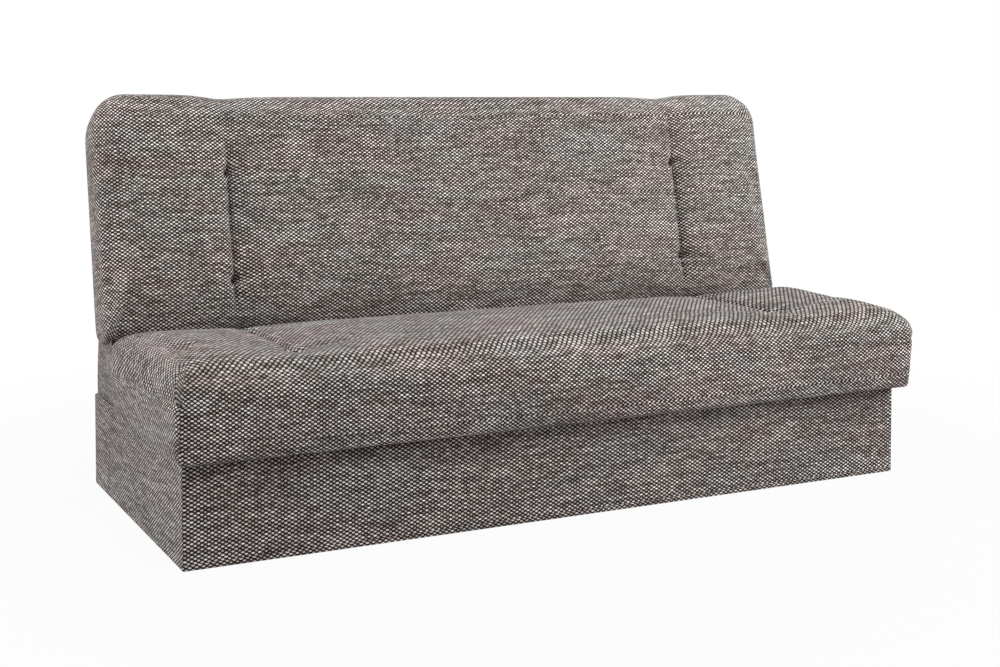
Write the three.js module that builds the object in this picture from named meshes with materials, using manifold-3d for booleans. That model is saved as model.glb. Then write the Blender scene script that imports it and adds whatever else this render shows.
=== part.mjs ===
// A click clack sofa bed: an upholstered seat and back that share one pivot line at the crease,
// standing on a fabric-covered bedding chest. The seat lifts at its front to open the chest.
// The back folds down flat behind the seat, held on the way by a toothed quadrant and a pawl
// at each end. Millimetres, +X to the right as seen from the front, +Y to the rear, +Z up. The
// origin is on the floor, under the middle of the whole sofa.
import * as THREE from 'three';
import * as BufferGeometryUtils from 'three/addons/utils/BufferGeometryUtils.js';
import Module from 'manifold-3d';

const wasm = await Module();
wasm.setup();

// Overall layout
const WIDTH = 1930;                // across the back, the widest piece
const DEPTH = 869;                 // seat front to chest rear
const CHEST_SIDE_INSET = 35;       // chest side inside the back's side
const CHEST_HEIGHT = 226;          // floor to the top of the cover
const SEAT_SIDE_INSET = 9;         // seat side inside the back's side
const SEAT_OVERHANG = 57;          // seat front past the chest front
const SEAT_THICKNESS = 189;        // underside to the top at the crease
const BACK_LENGTH = 602;           // from the pivot line to the top edge
const BACK_THICKNESS = 175;
const RECLINE = THREE.MathUtils.degToRad(12);
const CREASE_FROM_CHEST_REAR = 291; // where seat top and back front would meet, in plan
const PIVOT_DEPTH = 30;            // pivot line below the seat top, and behind the back front
const CREASE_GAP = 7;              // seat end and back end, each to the pivot line

// Clearances and cutting overrun
const SEATED = 0.3;                // pieces that rest on or are fixed to each other
const PLATE_GAP = 1;               // between hinge plates that turn past each other
const SOFT_GAP = 3;                // foam to moving steel
const OVERRUN = 40;                // cutters past the faces they cut

// Chest
const BOARD = 18;                  // chipboard thickness
const COVER = 3;                   // fabric with its felt backing
const COVER_LIP = 22;              // cover turned in over the board edges
const COVER_FOOT = 1;              // hem of the cover above the floor
const GLIDE_HEIGHT = 5;
const GLIDE_RADIUS = 8.5;
const GLIDE_EDGE = 1.5;            // chamfer round the glide's foot
const GLIDE_INSET = 60;            // glide centre from the chest outline
const FLOOR_PANEL = 4;             // hardboard
const FLOOR_LIFT = 12;             // floor panel above the board bottoms
const CORNER_BLOCK = 34;
const CORNER_BLOCK_CHAMFER = 14;   // inner corner planed off
const DIVIDER_DROP = 30;           // divider top below the board tops

// Seat and back frames
const RAIL = 25;                   // timber rail thickness
const RAIL_HEIGHT = 68;
const FRAME_INSET = 34;            // frame end behind the cushion's outline
const FRAME_FOOT = 8;              // seat rails above the cushion's rim
const CROSS_RAIL = 44;             // width of a cross rail
const CROSS_RAIL_HEIGHT = 30;
const CROSS_RAIL_AT = 300;         // cross rail centres either side of the middle
const DECK = 4;                    // hardboard deck over the rails
const PIVOT_CLEAR = 30;            // rails stop this far from the pivot line
const REAR_PANEL = 4;              // fabric-covered board that closes the back
const VENT_RADIUS = 14;            // breathing holes in the decks
const VENT_PITCH = 220;

// Cushions
const ROLL = 58;                   // radius of the rolled front and top edges
const SIDE_ROLL = 27;              // width of the tighter roll along the sides
const SIDE_ROLL_DEEP = 38;         // and its height
const SEAT_CORNER = 14;            // plan corner radius of the seat
const BACK_CORNER = 84;            // top corner radius of the back
const BACK_FOOT_CORNER = 14;       // its lower corners, beside the seat
const SEAT_DRAW = 8;               // the seat's sides drawn in at its rim
const BACK_DRAW = 15;              // the back's sides drawn in at its rear
const SEAT_CROWN = 14;
const BACK_CROWN = 14;
const CHANNEL_AT = 650;            // sewn channels either side of the middle
const CHANNEL_DEPTH = 11;
const CHANNEL_WIDTH = 26;
const TUFT_DEPTH = 15;
const TUFT_WIDTH = 24;
const SEAT_TUFTS_FROM_CREASE = [84, 402];
const SEAT_CHANNEL_FADE = 110;     // channel runs out this far past the front tuft
const BACK_TUFTS_FROM_PIVOT = [135, 399];
const BACK_CHANNEL_FADE = 260;
const WING_RISE = 6;               // the back's outer panels stand above the middle one
const GRID_ACROSS = 36;
const GRID_ALONG = 12;

// Hinge plates, from the chest board inwards: bracket, seat arm, back arm with its quadrant
const PLATE = 4;
const HUB_RADIUS = 20;
const BOLT_RADIUS = 5;
const BOLT_CLEARANCE = 0.3;
const BOLT_HEAD_RADIUS = 9;
const BOLT_HEAD = 4;
const NUT_ACROSS = 16;
const NUT = 7;
const ARM_WIDTH = 28;
const SEAT_ARM_REACH = 245;        // along the seat rail, from the pivot
const SEAT_ARM_BEND = 72;          // where the seat arm meets its rail, in front of the pivot
const BACK_ARM_REACH = 250;
const BACK_ARM_BEND = 44;
const SLOT_MARGIN = 10;            // slot in the foam past the arm's end
const BRACKET_WIDTH = 92;
const BRACKET_DROP = 118;          // bracket below the chest top
const BRACKET_BACK = 24;           // bracket foot starts behind the pivot line
const BRACKET_WINDOW = 16;         // radius of the lightening hole
const FIXING_HOLE = 3.2;

// Quadrant and pawl
const TOOTH_TIP = 58;              // radius to the tooth tips
const TOOTH_ROOT = 50;
const TOOTH_PITCH = THREE.MathUtils.degToRad(13);
const NOTCHES = 7;                 // upright to flat
const NOTCH_ROOT_HALF = 2.6;
const NOTCH_MOUTH_HALF = 4.3;
const TOOTH_CLEARANCE = 0.4;
const PAWL_PIN_FORWARD = 52;
const PAWL_PIN_DOWN = 60;
const PAWL_PIN_RADIUS = 4;
const PAWL_EYE = 10;
const PAWL_HEEL = 7;               // radius of the pawl's body under its tooth
const PAWL_TAIL = 30;              // finger tail past the pin
const PAWL_TAIL_DROP = 10;

// Rear skirt
const SKIRT = 2;
const SKIRT_HEAD_INSET = 17;       // inside the back's width at the top
const SKIRT_FOOT_INSET = 4;        // inside the chest's outline at the bottom
const SKIRT_FRONT = 3;             // side returns start this far in front of the pivot line
const SKIRT_SAG = 5;               // hangs in between its two edges

// Places that follow from the sizes above
const CHEST_WIDTH = WIDTH - 2 * CHEST_SIDE_INSET;
const SEAT_WIDTH = WIDTH - 2 * SEAT_SIDE_INSET;
const CHEST_REAR_Y = DEPTH / 2;
const CHEST_FRONT_Y = SEAT_OVERHANG - DEPTH / 2;
const SEAT_BOTTOM = CHEST_HEIGHT + SEATED;
const SEAT_TOP = SEAT_BOTTOM + SEAT_THICKNESS;
const SEAT_FRONT_Y = -DEPTH / 2;
const CREASE_Y = CHEST_REAR_Y - CREASE_FROM_CHEST_REAR;
const PIVOT_Z = SEAT_TOP - PIVOT_DEPTH;
const PIVOT_Y = CREASE_Y + (PIVOT_DEPTH - PIVOT_DEPTH * Math.sin(RECLINE)) / Math.cos(RECLINE);
const SEAT_REAR_Y = PIVOT_Y - CREASE_GAP;
const BOARD_TOP = CHEST_HEIGHT - COVER - SEATED;
const BOARD_BOTTOM = GLIDE_HEIGHT + SEATED;
const BOARD_OUT_X = CHEST_WIDTH / 2 - COVER - SEATED;
const BRACKET_X = BOARD_OUT_X - BOARD - SEATED - PLATE;
const SEAT_ARM_X = BRACKET_X - PLATE_GAP - PLATE;
const BACK_ARM_X = SEAT_ARM_X - PLATE_GAP - PLATE;
const RAIL_OUT_X = BACK_ARM_X - SEATED;
const SLOT_OUT_X = BRACKET_X + PLATE + SOFT_GAP;
const BACK_REAR = BACK_THICKNESS - PIVOT_DEPTH; // in the back's own frame, from the pivot

const sides = [['left', -1], ['right', 1]];
const ends = [['front', -1], ['rear', 1]];

function material(name, color, roughness, metalness = 0) {
  return new THREE.MeshStandardMaterial({ name, color, roughness, metalness });
}

const fabric = () => material('melange_fabric', 0x7d7772, 0.95);
const timber = () => material('raw_timber', 0xb58b5b, 0.75);
const chipboard = () => material('chipboard', 0xa78a63, 0.85);
const hardboard = () => material('hardboard', 0x6e4a2f, 0.7);
const steel = () => material('zinc_steel', 0xa9abad, 0.38, 0.9);
const plastic = () => material('black_plastic', 0x161616, 0.55);

// Closed shapes and the joins and cuts between them

function toSolid(geometry) {
  const bare = new THREE.BufferGeometry();
  bare.setAttribute('position', geometry.getAttribute('position').clone());
  if (geometry.index) bare.setIndex(geometry.index.clone());
  const merged = BufferGeometryUtils.mergeVertices(bare, 1e-3);
  return new wasm.Manifold(new wasm.Mesh({
    numProp: 3,
    vertProperties: Float32Array.from(merged.getAttribute('position').array),
    triVerts: Uint32Array.from(merged.index.array),
  }));
}

function toGeometry(solid) {
  const mesh = solid.getMesh();
  const geometry = new THREE.BufferGeometry();
  const count = mesh.vertProperties.length / mesh.numProp;
  const position = new Float32Array(count * 3);
  for (let i = 0; i < count; i++) {
    for (let k = 0; k < 3; k++) position[3 * i + k] = mesh.vertProperties[i * mesh.numProp + k];
  }
  geometry.setAttribute('position', new THREE.BufferAttribute(position, 3));
  geometry.setIndex(new THREE.BufferAttribute(Uint32Array.from(mesh.triVerts), 1));
  geometry.computeVertexNormals();
  return geometry;
}

function join(first, ...rest) {
  return toGeometry(rest.reduce((sum, g) => sum.add(toSolid(g)), toSolid(first)));
}

function cut(body, ...tools) {
  return toGeometry(tools.reduce((left, g) => left.subtract(toSolid(g)), toSolid(body)));
}

// A box between two corners
function span(x0, x1, y0, y1, z0, z1) {
  return new THREE.BoxGeometry(x1 - x0, y1 - y0, z1 - z0)
    .translate((x0 + x1) / 2, (y0 + y1) / 2, (z0 + z1) / 2);
}

// A flat shape drawn in the side view (its x is Y, its y is Z), thick along X from x0 to x1
const sideView = new THREE.Matrix4().makeBasis(
  new THREE.Vector3(0, 1, 0), new THREE.Vector3(0, 0, 1), new THREE.Vector3(1, 0, 0));

function sidePlate(shape, x0, x1, curveSegments = 10) {
  const low = Math.min(x0, x1);
  return new THREE.ExtrudeGeometry(shape, { depth: Math.abs(x1 - x0), bevelEnabled: false, curveSegments })
    .applyMatrix4(sideView).translate(low, 0, 0);
}

function disc(y, z, radius) {
  const shape = new THREE.Shape();
  shape.absarc(y, z, radius, 0, 2 * Math.PI, false);
  return shape;
}

// A bar with round ends between two points of the side view
function bar(y0, z0, y1, z1, width) {
  const turn = Math.atan2(z1 - z0, y1 - y0);
  const shape = new THREE.Shape();
  shape.absarc(y0, z0, width / 2, turn + Math.PI / 2, turn + 3 * Math.PI / 2, false);
  shape.absarc(y1, z1, width / 2, turn - Math.PI / 2, turn + Math.PI / 2, false);
  shape.closePath();
  return shape;
}

function addMesh(parent, name, geometry, look) {
  const mesh = new THREE.Mesh(geometry, look);
  mesh.name = name;
  parent.add(mesh);
  return mesh;
}

// Cushions. Each is rings of one rounded outline, stepped inwards over the rolled edge, which is
// tighter along the sides, with a crowned grid on top. It lies with its sitting face up: x across,
// y along, z thick.

function onOutline(u, v, halfX, halfY, corner) {
  const x = u * halfX;
  const y = v * halfY;
  const dx = x - THREE.MathUtils.clamp(x, corner - halfX, halfX - corner);
  const dy = y - THREE.MathUtils.clamp(y, corner - halfY, halfY - corner);
  const length = Math.hypot(dx, dy);
  if (dx === 0 || dy === 0 || length === 0) return [x, y];
  const scale = Math.max(Math.abs(dx), Math.abs(dy)) / length;
  return [x - dx + dx * scale, y - dy + dy * scale];
}

// Distances across the cushion, closer together where a channel runs
function acrossSteps(halfX, steps) {
  const list = Array.from({ length: steps + 1 }, (_, i) => -1 + 2 * i / steps);
  for (const side of [-1, 1]) {
    const target = side * CHANNEL_AT / halfX;
    let nearest = 0;
    list.forEach((value, i) => {
      if (Math.abs(value - target) < Math.abs(list[nearest] - target)) nearest = i;
    });
    list[nearest] = target;
    const gap = CHANNEL_WIDTH / halfX;
    list[nearest - 1] = target - gap;
    list[nearest + 1] = target + gap;
  }
  return list;
}

// Rings from the rim up: how far each is drawn in, how high it stands below the roll, and how far
// it has turned over the roll
function cushionRings(draw) {
  const rings = [
    { draw, rise: 0, turn: 0 },
    { draw: draw / 4, rise: 0.5, turn: 0 },
    { draw: draw / 6, rise: 1, turn: 0 },
  ];
  const arc = 4;
  for (let k = 1; k <= arc; k++) rings.push({ draw: 0, rise: 1, turn: (k / arc) * Math.PI / 2 });
  return rings;
}

function cushionShell({ halfX, halfY, thickness, corner, nearCorner = corner, crown, draw, press }) {
  const across = acrossSteps(halfX, GRID_ACROSS);
  const along = Array.from({ length: GRID_ALONG + 1 }, (_, j) => -1 + 2 * j / GRID_ALONG);
  const position = [];
  const index = [];
  const put = (u, v, ring) => {
    const rounding = v < 0 ? nearCorner : corner;
    const over = 1 - Math.cos(ring.turn);
    const radius = rounding + over * Math.max(0, (SIDE_ROLL + ROLL) / 2 - rounding / 2);
    const innerX = halfX - ring.draw - SIDE_ROLL * over;
    const innerY = halfY - ring.draw - ROLL * over;
    const [x, y] = onOutline(u, v, innerX, innerY, radius);
    const fromSide = halfX * (1 - Math.abs(u)) + SEATED;
    const fromEnd = halfY * (1 - Math.abs(v)) + SEATED;
    const sideShare = fromEnd / (fromSide + fromEnd);
    const deep = THREE.MathUtils.lerp(ROLL, SIDE_ROLL_DEEP, sideShare);
    const swell = crown * (1 - v ** 4);
    const z = (thickness - deep) * ring.rise + (deep + swell) * Math.sin(ring.turn);
    position.push(...press(x, y, z, z / thickness));
    return position.length / 3 - 1;
  };
  const rim = [];
  for (let i = 0; i < GRID_ACROSS; i++) rim.push([i, 0]);
  for (let j = 0; j < GRID_ALONG; j++) rim.push([GRID_ACROSS, j]);
  for (let i = GRID_ACROSS; i > 0; i--) rim.push([i, GRID_ALONG]);
  for (let j = GRID_ALONG; j > 0; j--) rim.push([0, j]);

  const rings = cushionRings(draw);
  const loops = rings.slice(0, -1).map((ring) => rim.map(([i, j]) => put(across[i], along[j], ring)));
  const last = rings[rings.length - 1];
  const top = across.map((u) => along.map((v) => put(u, v, last)));
  loops.push(rim.map(([i, j]) => top[i][j]));

  for (let k = 0; k + 1 < loops.length; k++) {
    rim.forEach((_, a) => {
      const b = (a + 1) % rim.length;
      index.push(loops[k][a], loops[k][b], loops[k + 1][b]);
      index.push(loops[k][a], loops[k + 1][b], loops[k + 1][a]);
    });
  }
  for (let i = 0; i < GRID_ACROSS; i++) {
    for (let j = 0; j < GRID_ALONG; j++) {
      index.push(top[i][j], top[i + 1][j], top[i + 1][j + 1]);
      index.push(top[i][j], top[i + 1][j + 1], top[i][j + 1]);
    }
  }
  const base = position.length / 3;
  position.push(0, 0, 0);
  rim.forEach((_, a) => index.push(base, loops[0][(a + 1) % rim.length], loops[0][a]));
  const geometry = new THREE.BufferGeometry();
  geometry.setAttribute('position', new THREE.Float32BufferAttribute(position, 3));
  geometry.setIndex(index);
  return geometry;
}

const hump = (distance, width) => Math.exp(-((distance / width) ** 2));
const ease = (value, from, to) => {
  const t = THREE.MathUtils.clamp((value - from) / (to - from), 0, 1);
  return t * t * (3 - 2 * t);
};

// How far the sewing pulls the face in at a point: two channels and the tufts on them
function sewnDepth(x, y, tufts, channel) {
  const off = Math.abs(Math.abs(x) - CHANNEL_AT);
  let depth = CHANNEL_DEPTH * hump(off, CHANNEL_WIDTH) * channel;
  for (const at of tufts) depth = Math.max(depth, TUFT_DEPTH * hump(Math.hypot(off, y - at), TUFT_WIDTH));
  return depth;
}

function seatShell() {
  const halfY = (SEAT_REAR_Y - SEAT_FRONT_Y) / 2;
  const midY = (SEAT_REAR_Y + SEAT_FRONT_Y) / 2;
  const tufts = SEAT_TUFTS_FROM_CREASE.map((d) => CREASE_Y - d - midY);
  const fadeFrom = tufts[1] - SEAT_CHANNEL_FADE;
  const press = (x, y, z, share) => {
    const channel = ease(y, fadeFrom, tufts[1]);
    return [x, y, z - share * sewnDepth(x, y, tufts, channel)];
  };
  return cushionShell({
    halfX: SEAT_WIDTH / 2, halfY, thickness: SEAT_THICKNESS, corner: SEAT_CORNER, crown: SEAT_CROWN,
    draw: SEAT_DRAW, press,
  }).translate(0, midY, SEAT_BOTTOM);
}

// The back's shell is made lying down, then stood up in the back's own frame
function backShell() {
  const halfY = (BACK_LENGTH - CREASE_GAP) / 2;
  const midLong = (BACK_LENGTH + CREASE_GAP) / 2;
  const tufts = BACK_TUFTS_FROM_PIVOT.map((d) => d - midLong);
  const topTuft = tufts[tufts.length - 1];
  const press = (x, y, z, share) => {
    const channel = 1 - 0.4 * ease(y, topTuft, topTuft + BACK_CHANNEL_FADE);
    const wing = WING_RISE * ease(Math.abs(x), CHANNEL_AT - CHANNEL_WIDTH, CHANNEL_AT + 3 * CHANNEL_WIDTH);
    const valley = CHANNEL_DEPTH * hump(Math.abs(x) - CHANNEL_AT, 3 * CHANNEL_WIDTH) / 2;
    const upper = ease(y, topTuft, halfY);
    const long = y + upper * (wing - valley);
    return [x, long, z - share * sewnDepth(x, y, tufts, channel)];
  };
  return cushionShell({
    halfX: WIDTH / 2, halfY, thickness: BACK_THICKNESS, corner: BACK_CORNER, nearCorner: BACK_FOOT_CORNER,
    crown: BACK_CROWN, draw: BACK_DRAW, press,
  }).translate(0, midLong, 0).rotateX(Math.PI / 2).translate(0, BACK_REAR, 0);
}

// Chest

function chestBoards(chest) {
  const front = CHEST_FRONT_Y + COVER + SEATED;
  const rear = CHEST_REAR_Y - COVER - SEATED;
  const between = BOARD_OUT_X - BOARD - SEATED;
  const board = (name, x0, x1, y0, y1) =>
    addMesh(chest, name, span(x0, x1, y0, y1, BOARD_BOTTOM, BOARD_TOP), chipboard());
  board('chest_left_board', -BOARD_OUT_X, -BOARD_OUT_X + BOARD, front, rear);
  board('chest_right_board', BOARD_OUT_X - BOARD, BOARD_OUT_X, front, rear);
  board('chest_front_board', -between, between, front, front + BOARD);
  board('chest_rear_board', -between, between, rear - BOARD, rear);
}

function chestInside(chest) {
  const front = CHEST_FRONT_Y + COVER + BOARD + 2 * SEATED;
  const rear = CHEST_REAR_Y - COVER - BOARD - 2 * SEATED;
  const side = BOARD_OUT_X - BOARD - SEATED;
  const panelBottom = BOARD_BOTTOM + FLOOR_LIFT;
  const panelTop = panelBottom + FLOOR_PANEL;
  addMesh(chest, 'chest_floor_panel', span(-side, side, front, rear, panelBottom, panelTop), hardboard());

  const dividerTop = BOARD_TOP - DIVIDER_DROP;
  const divider = span(-BOARD / 2, BOARD / 2, front, rear, panelTop + SEATED, dividerTop);
  addMesh(chest, 'chest_centre_divider', divider, chipboard());

  for (const [sideName, sx] of sides) {
    for (const [endName, sy] of ends) {
      const face = sy < 0 ? front : rear;
      const block = new THREE.Shape();
      const x = sx * side;
      block.moveTo(x, face);
      block.lineTo(x - sx * CORNER_BLOCK, face);
      block.lineTo(x - sx * CORNER_BLOCK, face - sy * (CORNER_BLOCK - CORNER_BLOCK_CHAMFER));
      block.lineTo(x - sx * (CORNER_BLOCK - CORNER_BLOCK_CHAMFER), face - sy * CORNER_BLOCK);
      block.lineTo(x, face - sy * CORNER_BLOCK);
      block.closePath();
      const height = BOARD_TOP - DIVIDER_DROP - panelTop - SEATED;
      const geometry = new THREE.ExtrudeGeometry(block, { depth: height, bevelEnabled: false })
        .translate(0, 0, panelTop + SEATED);
      addMesh(chest, `chest_corner_block_${endName}_${sideName}`, geometry, timber());
    }
  }
}

// The cover is drawn tight round the boards, turned in over their top edges
function chestCover(chest) {
  const half = CHEST_WIDTH / 2;
  const outer = span(-half, half, CHEST_FRONT_Y, CHEST_REAR_Y, COVER_FOOT, CHEST_HEIGHT);
  const inner = span(-half + COVER, half - COVER, CHEST_FRONT_Y + COVER, CHEST_REAR_Y - COVER,
    COVER_FOOT - OVERRUN, CHEST_HEIGHT - COVER);
  const lip = COVER + COVER_LIP;
  const mouth = span(-half + lip, half - lip, CHEST_FRONT_Y + lip, CHEST_REAR_Y - lip,
    COVER_FOOT - OVERRUN, CHEST_HEIGHT + OVERRUN);
  const slots = sides.map(([, sx]) => {
    const inside = sx * (BRACKET_X - SOFT_GAP);
    const outside = sx * SLOT_OUT_X;
    const rear = PIVOT_Y + BRACKET_BACK + BRACKET_WIDTH + SOFT_GAP;
    return span(Math.min(inside, outside), Math.max(inside, outside), PIVOT_Y - HUB_RADIUS, rear,
      CHEST_HEIGHT - COVER - OVERRUN, CHEST_HEIGHT + OVERRUN);
  });
  addMesh(chest, 'chest_cover', cut(outer, inner, mouth, ...slots), fabric());
}

function glideGeometry() {
  const profile = [
    new THREE.Vector2(0, 0),
    new THREE.Vector2(GLIDE_RADIUS - GLIDE_EDGE, 0),
    new THREE.Vector2(GLIDE_RADIUS, GLIDE_EDGE),
    new THREE.Vector2(GLIDE_RADIUS, GLIDE_HEIGHT),
    new THREE.Vector2(0, GLIDE_HEIGHT),
  ];
  return new THREE.LatheGeometry(profile, 20).rotateX(Math.PI / 2);
}

function chestGlides(chest) {
  const places = [['left', -1], ['middle', 0], ['right', 1]];
  const half = BOARD_OUT_X - BOARD / 2;
  for (const [endName, sy] of ends) {
    const edge = sy < 0 ? CHEST_FRONT_Y : CHEST_REAR_Y;
    for (const [sideName, sx] of places) {
      const y = sx === 0 ? edge - sy * (COVER + SEATED + BOARD / 2) : edge - sy * GLIDE_INSET;
      const glide = addMesh(chest, `glide_${endName}_${sideName}`, glideGeometry(), plastic());
      glide.position.set(sx * half, y, 0);
    }
  }
}

// Hinge plates

function fixingHoles(x0, x1, points) {
  return points.map(([y, z]) => sidePlate(disc(y, z, FIXING_HOLE), x0, x1, 4));
}

function hingeBracket(sx) {
  const x0 = sx * BRACKET_X;
  const x1 = sx * (BRACKET_X + PLATE);
  const foot = PIVOT_Y + BRACKET_BACK;
  const bottom = CHEST_HEIGHT - BRACKET_DROP;
  const shoulder = CHEST_HEIGHT - COVER;
  const plate = new THREE.Shape();
  plate.moveTo(foot, bottom);
  plate.lineTo(foot + BRACKET_WIDTH, bottom);
  plate.lineTo(foot + BRACKET_WIDTH, shoulder);
  plate.quadraticCurveTo(foot + BRACKET_WIDTH / 3, shoulder + BRACKET_WIDTH / 3,
    PIVOT_Y + HUB_RADIUS * Math.cos(RECLINE), PIVOT_Z - HUB_RADIUS * Math.sin(RECLINE));
  plate.lineTo(PIVOT_Y - HUB_RADIUS * Math.cos(RECLINE), PIVOT_Z - HUB_RADIUS * Math.sin(RECLINE));
  plate.quadraticCurveTo(PIVOT_Y + BRACKET_BACK / 2, shoulder + BRACKET_BACK, foot, shoulder);
  plate.closePath();
  const body = join(sidePlate(plate, x0, x1), sidePlate(disc(PIVOT_Y, PIVOT_Z, HUB_RADIUS), x0, x1));
  const reach = [x0 - sx * OVERRUN, x1 + sx * OVERRUN];
  const inset = BRACKET_WIDTH / 6;
  const holes = fixingHoles(...reach, [
    [foot + inset, bottom + inset], [foot + BRACKET_WIDTH - inset, bottom + inset],
    [foot + inset, shoulder - 2 * inset], [foot + BRACKET_WIDTH - inset, shoulder - 2 * inset],
  ]);
  return cut(body,
    sidePlate(disc(PIVOT_Y, PIVOT_Z, BOLT_RADIUS + BOLT_CLEARANCE), ...reach),
    sidePlate(disc(foot + BRACKET_WIDTH / 2, bottom + BRACKET_WIDTH / 2, BRACKET_WINDOW), ...reach),
    ...holes);
}

// The bolt lies along X; its head is outside the bracket and its nut inside the back arm
function pivotBolt() {
  const length = PLATE * 3 + PLATE_GAP * 2 + SEATED * 2 + NUT;
  const profile = [
    new THREE.Vector2(0, 0),
    new THREE.Vector2(BOLT_RADIUS, 0),
    new THREE.Vector2(BOLT_RADIUS, length),
    new THREE.Vector2(BOLT_HEAD_RADIUS, length),
    new THREE.Vector2(BOLT_HEAD_RADIUS, length + BOLT_HEAD / 2),
    new THREE.Vector2(BOLT_HEAD_RADIUS - BOLT_HEAD / 2, length + BOLT_HEAD),
    new THREE.Vector2(0, length + BOLT_HEAD),
  ];
  return new THREE.LatheGeometry(profile, 20);
}

function pivotNut() {
  const nut = new THREE.Shape();
  for (let k = 0; k < 6; k++) {
    const turn = (k / 6) * 2 * Math.PI;
    const radius = NUT_ACROSS / Math.sqrt(3);
    if (k === 0) nut.moveTo(radius * Math.cos(turn), radius * Math.sin(turn));
    else nut.lineTo(radius * Math.cos(turn), radius * Math.sin(turn));
  }
  nut.closePath();
  nut.holes.push(new THREE.Path().absarc(0, 0, BOLT_RADIUS + BOLT_CLEARANCE, 0, 2 * Math.PI, true));
  return new THREE.ExtrudeGeometry(nut, { depth: NUT, bevelEnabled: false, curveSegments: 10 });
}

function chestHinges(chest) {
  for (const [sideName, sx] of sides) {
    addMesh(chest, `hinge_bracket_${sideName}`, hingeBracket(sx), steel());
    const innerEnd = BACK_ARM_X - SEATED - NUT;
    const bolt = addMesh(chest, `pivot_bolt_${sideName}`, pivotBolt(), steel());
    bolt.rotation.z = -sx * Math.PI / 2;
    bolt.position.set(sx * innerEnd, PIVOT_Y, PIVOT_Z);
    const nut = addMesh(chest, `pivot_nut_${sideName}`, pivotNut(), steel());
    nut.rotation.y = sx * Math.PI / 2;
    nut.position.set(sx * innerEnd, PIVOT_Y, PIVOT_Z);
  }
}

// The arm runs from the pivot down to the seat's side rail. Two raised pads meet the rail, and
// a stud carries the pawl.
function seatArm(sx) {
  const x0 = sx * SEAT_ARM_X;
  const x1 = sx * (SEAT_ARM_X + PLATE);
  const railMid = SEAT_BOTTOM + FRAME_FOOT + RAIL_HEIGHT / 2;
  const bend = PIVOT_Y - SEAT_ARM_BEND;
  const tip = PIVOT_Y - SEAT_ARM_REACH;
  const pad = [sx * BACK_ARM_X, x0 + sx * SEATED];
  const padAt = [bend - ARM_WIDTH, tip];
  const stud = [PIVOT_Y - PAWL_PIN_FORWARD, PIVOT_Z - PAWL_PIN_DOWN];
  const body = join(
    sidePlate(disc(PIVOT_Y, PIVOT_Z, HUB_RADIUS), x0, x1),
    sidePlate(bar(PIVOT_Y, PIVOT_Z, bend, railMid, ARM_WIDTH), x0, x1, 6),
    sidePlate(bar(bend, railMid, tip, railMid, ARM_WIDTH), x0, x1, 6),
    ...padAt.map((y) => sidePlate(disc(y, railMid, ARM_WIDTH / 3), ...pad, 5)),
    sidePlate(disc(...stud, PAWL_EYE), x0, x1, 6),
    sidePlate(disc(...stud, PAWL_PIN_RADIUS), ...pad, 5));
  const reach = [x0 - sx * OVERRUN, x1 + sx * OVERRUN];
  return cut(body, sidePlate(disc(PIVOT_Y, PIVOT_Z, BOLT_RADIUS + BOLT_CLEARANCE), ...reach),
    ...fixingHoles(...reach, padAt.map((y) => [y, railMid])));
}

// One notch of the quadrant, cut from the rim inwards and turned to its place
function notchCutter(turn, x0, x1) {
  const notch = new THREE.Shape();
  notch.moveTo(TOOTH_ROOT, -NOTCH_ROOT_HALF);
  notch.lineTo(TOOTH_TIP + TOOTH_CLEARANCE, -NOTCH_MOUTH_HALF);
  notch.lineTo(TOOTH_TIP + TOOTH_CLEARANCE, NOTCH_MOUTH_HALF);
  notch.lineTo(TOOTH_ROOT, NOTCH_ROOT_HALF);
  notch.closePath();
  return sidePlate(notch, x0, x1).rotateX(turn);
}

// The back arm in the back's own frame, with the quadrant's teeth round the pivot. The first
// notch stands straight below the pivot when the back is upright. It is open on its far side,
// so that the seat can lift towards the back with the pawl in.
function backArm(sx) {
  const x0 = sx * BACK_ARM_X;
  const x1 = sx * (BACK_ARM_X + PLATE);
  const firstNotch = -Math.PI / 2 + RECLINE;
  const from = firstNotch;
  const to = firstNotch + TOOTH_PITCH * (NOTCHES - 1 / 2);
  const sector = new THREE.Shape();
  sector.moveTo(0, 0);
  sector.lineTo(TOOTH_TIP * Math.cos(from), TOOTH_TIP * Math.sin(from));
  sector.absarc(0, 0, TOOTH_TIP, from, to, false);
  sector.closePath();
  const railMid = BACK_REAR - RAIL_HEIGHT / 2 - REAR_PANEL - SEATED;
  const body = join(
    sidePlate(sector, x0, x1, 24),
    sidePlate(disc(0, 0, HUB_RADIUS), x0, x1),
    sidePlate(bar(0, 0, railMid, BACK_ARM_BEND, ARM_WIDTH), x0, x1, 6),
    sidePlate(bar(railMid, BACK_ARM_BEND, railMid, BACK_ARM_REACH, ARM_WIDTH), x0, x1, 6));
  const reach = [x0 - sx * OVERRUN, x1 + sx * OVERRUN];
  const notches = Array.from({ length: NOTCHES }, (_, k) =>
    notchCutter(firstNotch + k * TOOTH_PITCH, ...reach));
  const holes = fixingHoles(...reach, [[railMid, BACK_ARM_BEND + ARM_WIDTH], [railMid, BACK_ARM_REACH]]);
  return cut(body, sidePlate(disc(0, 0, BOLT_RADIUS + BOLT_CLEARANCE), ...reach), ...notches, ...holes);
}

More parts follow.
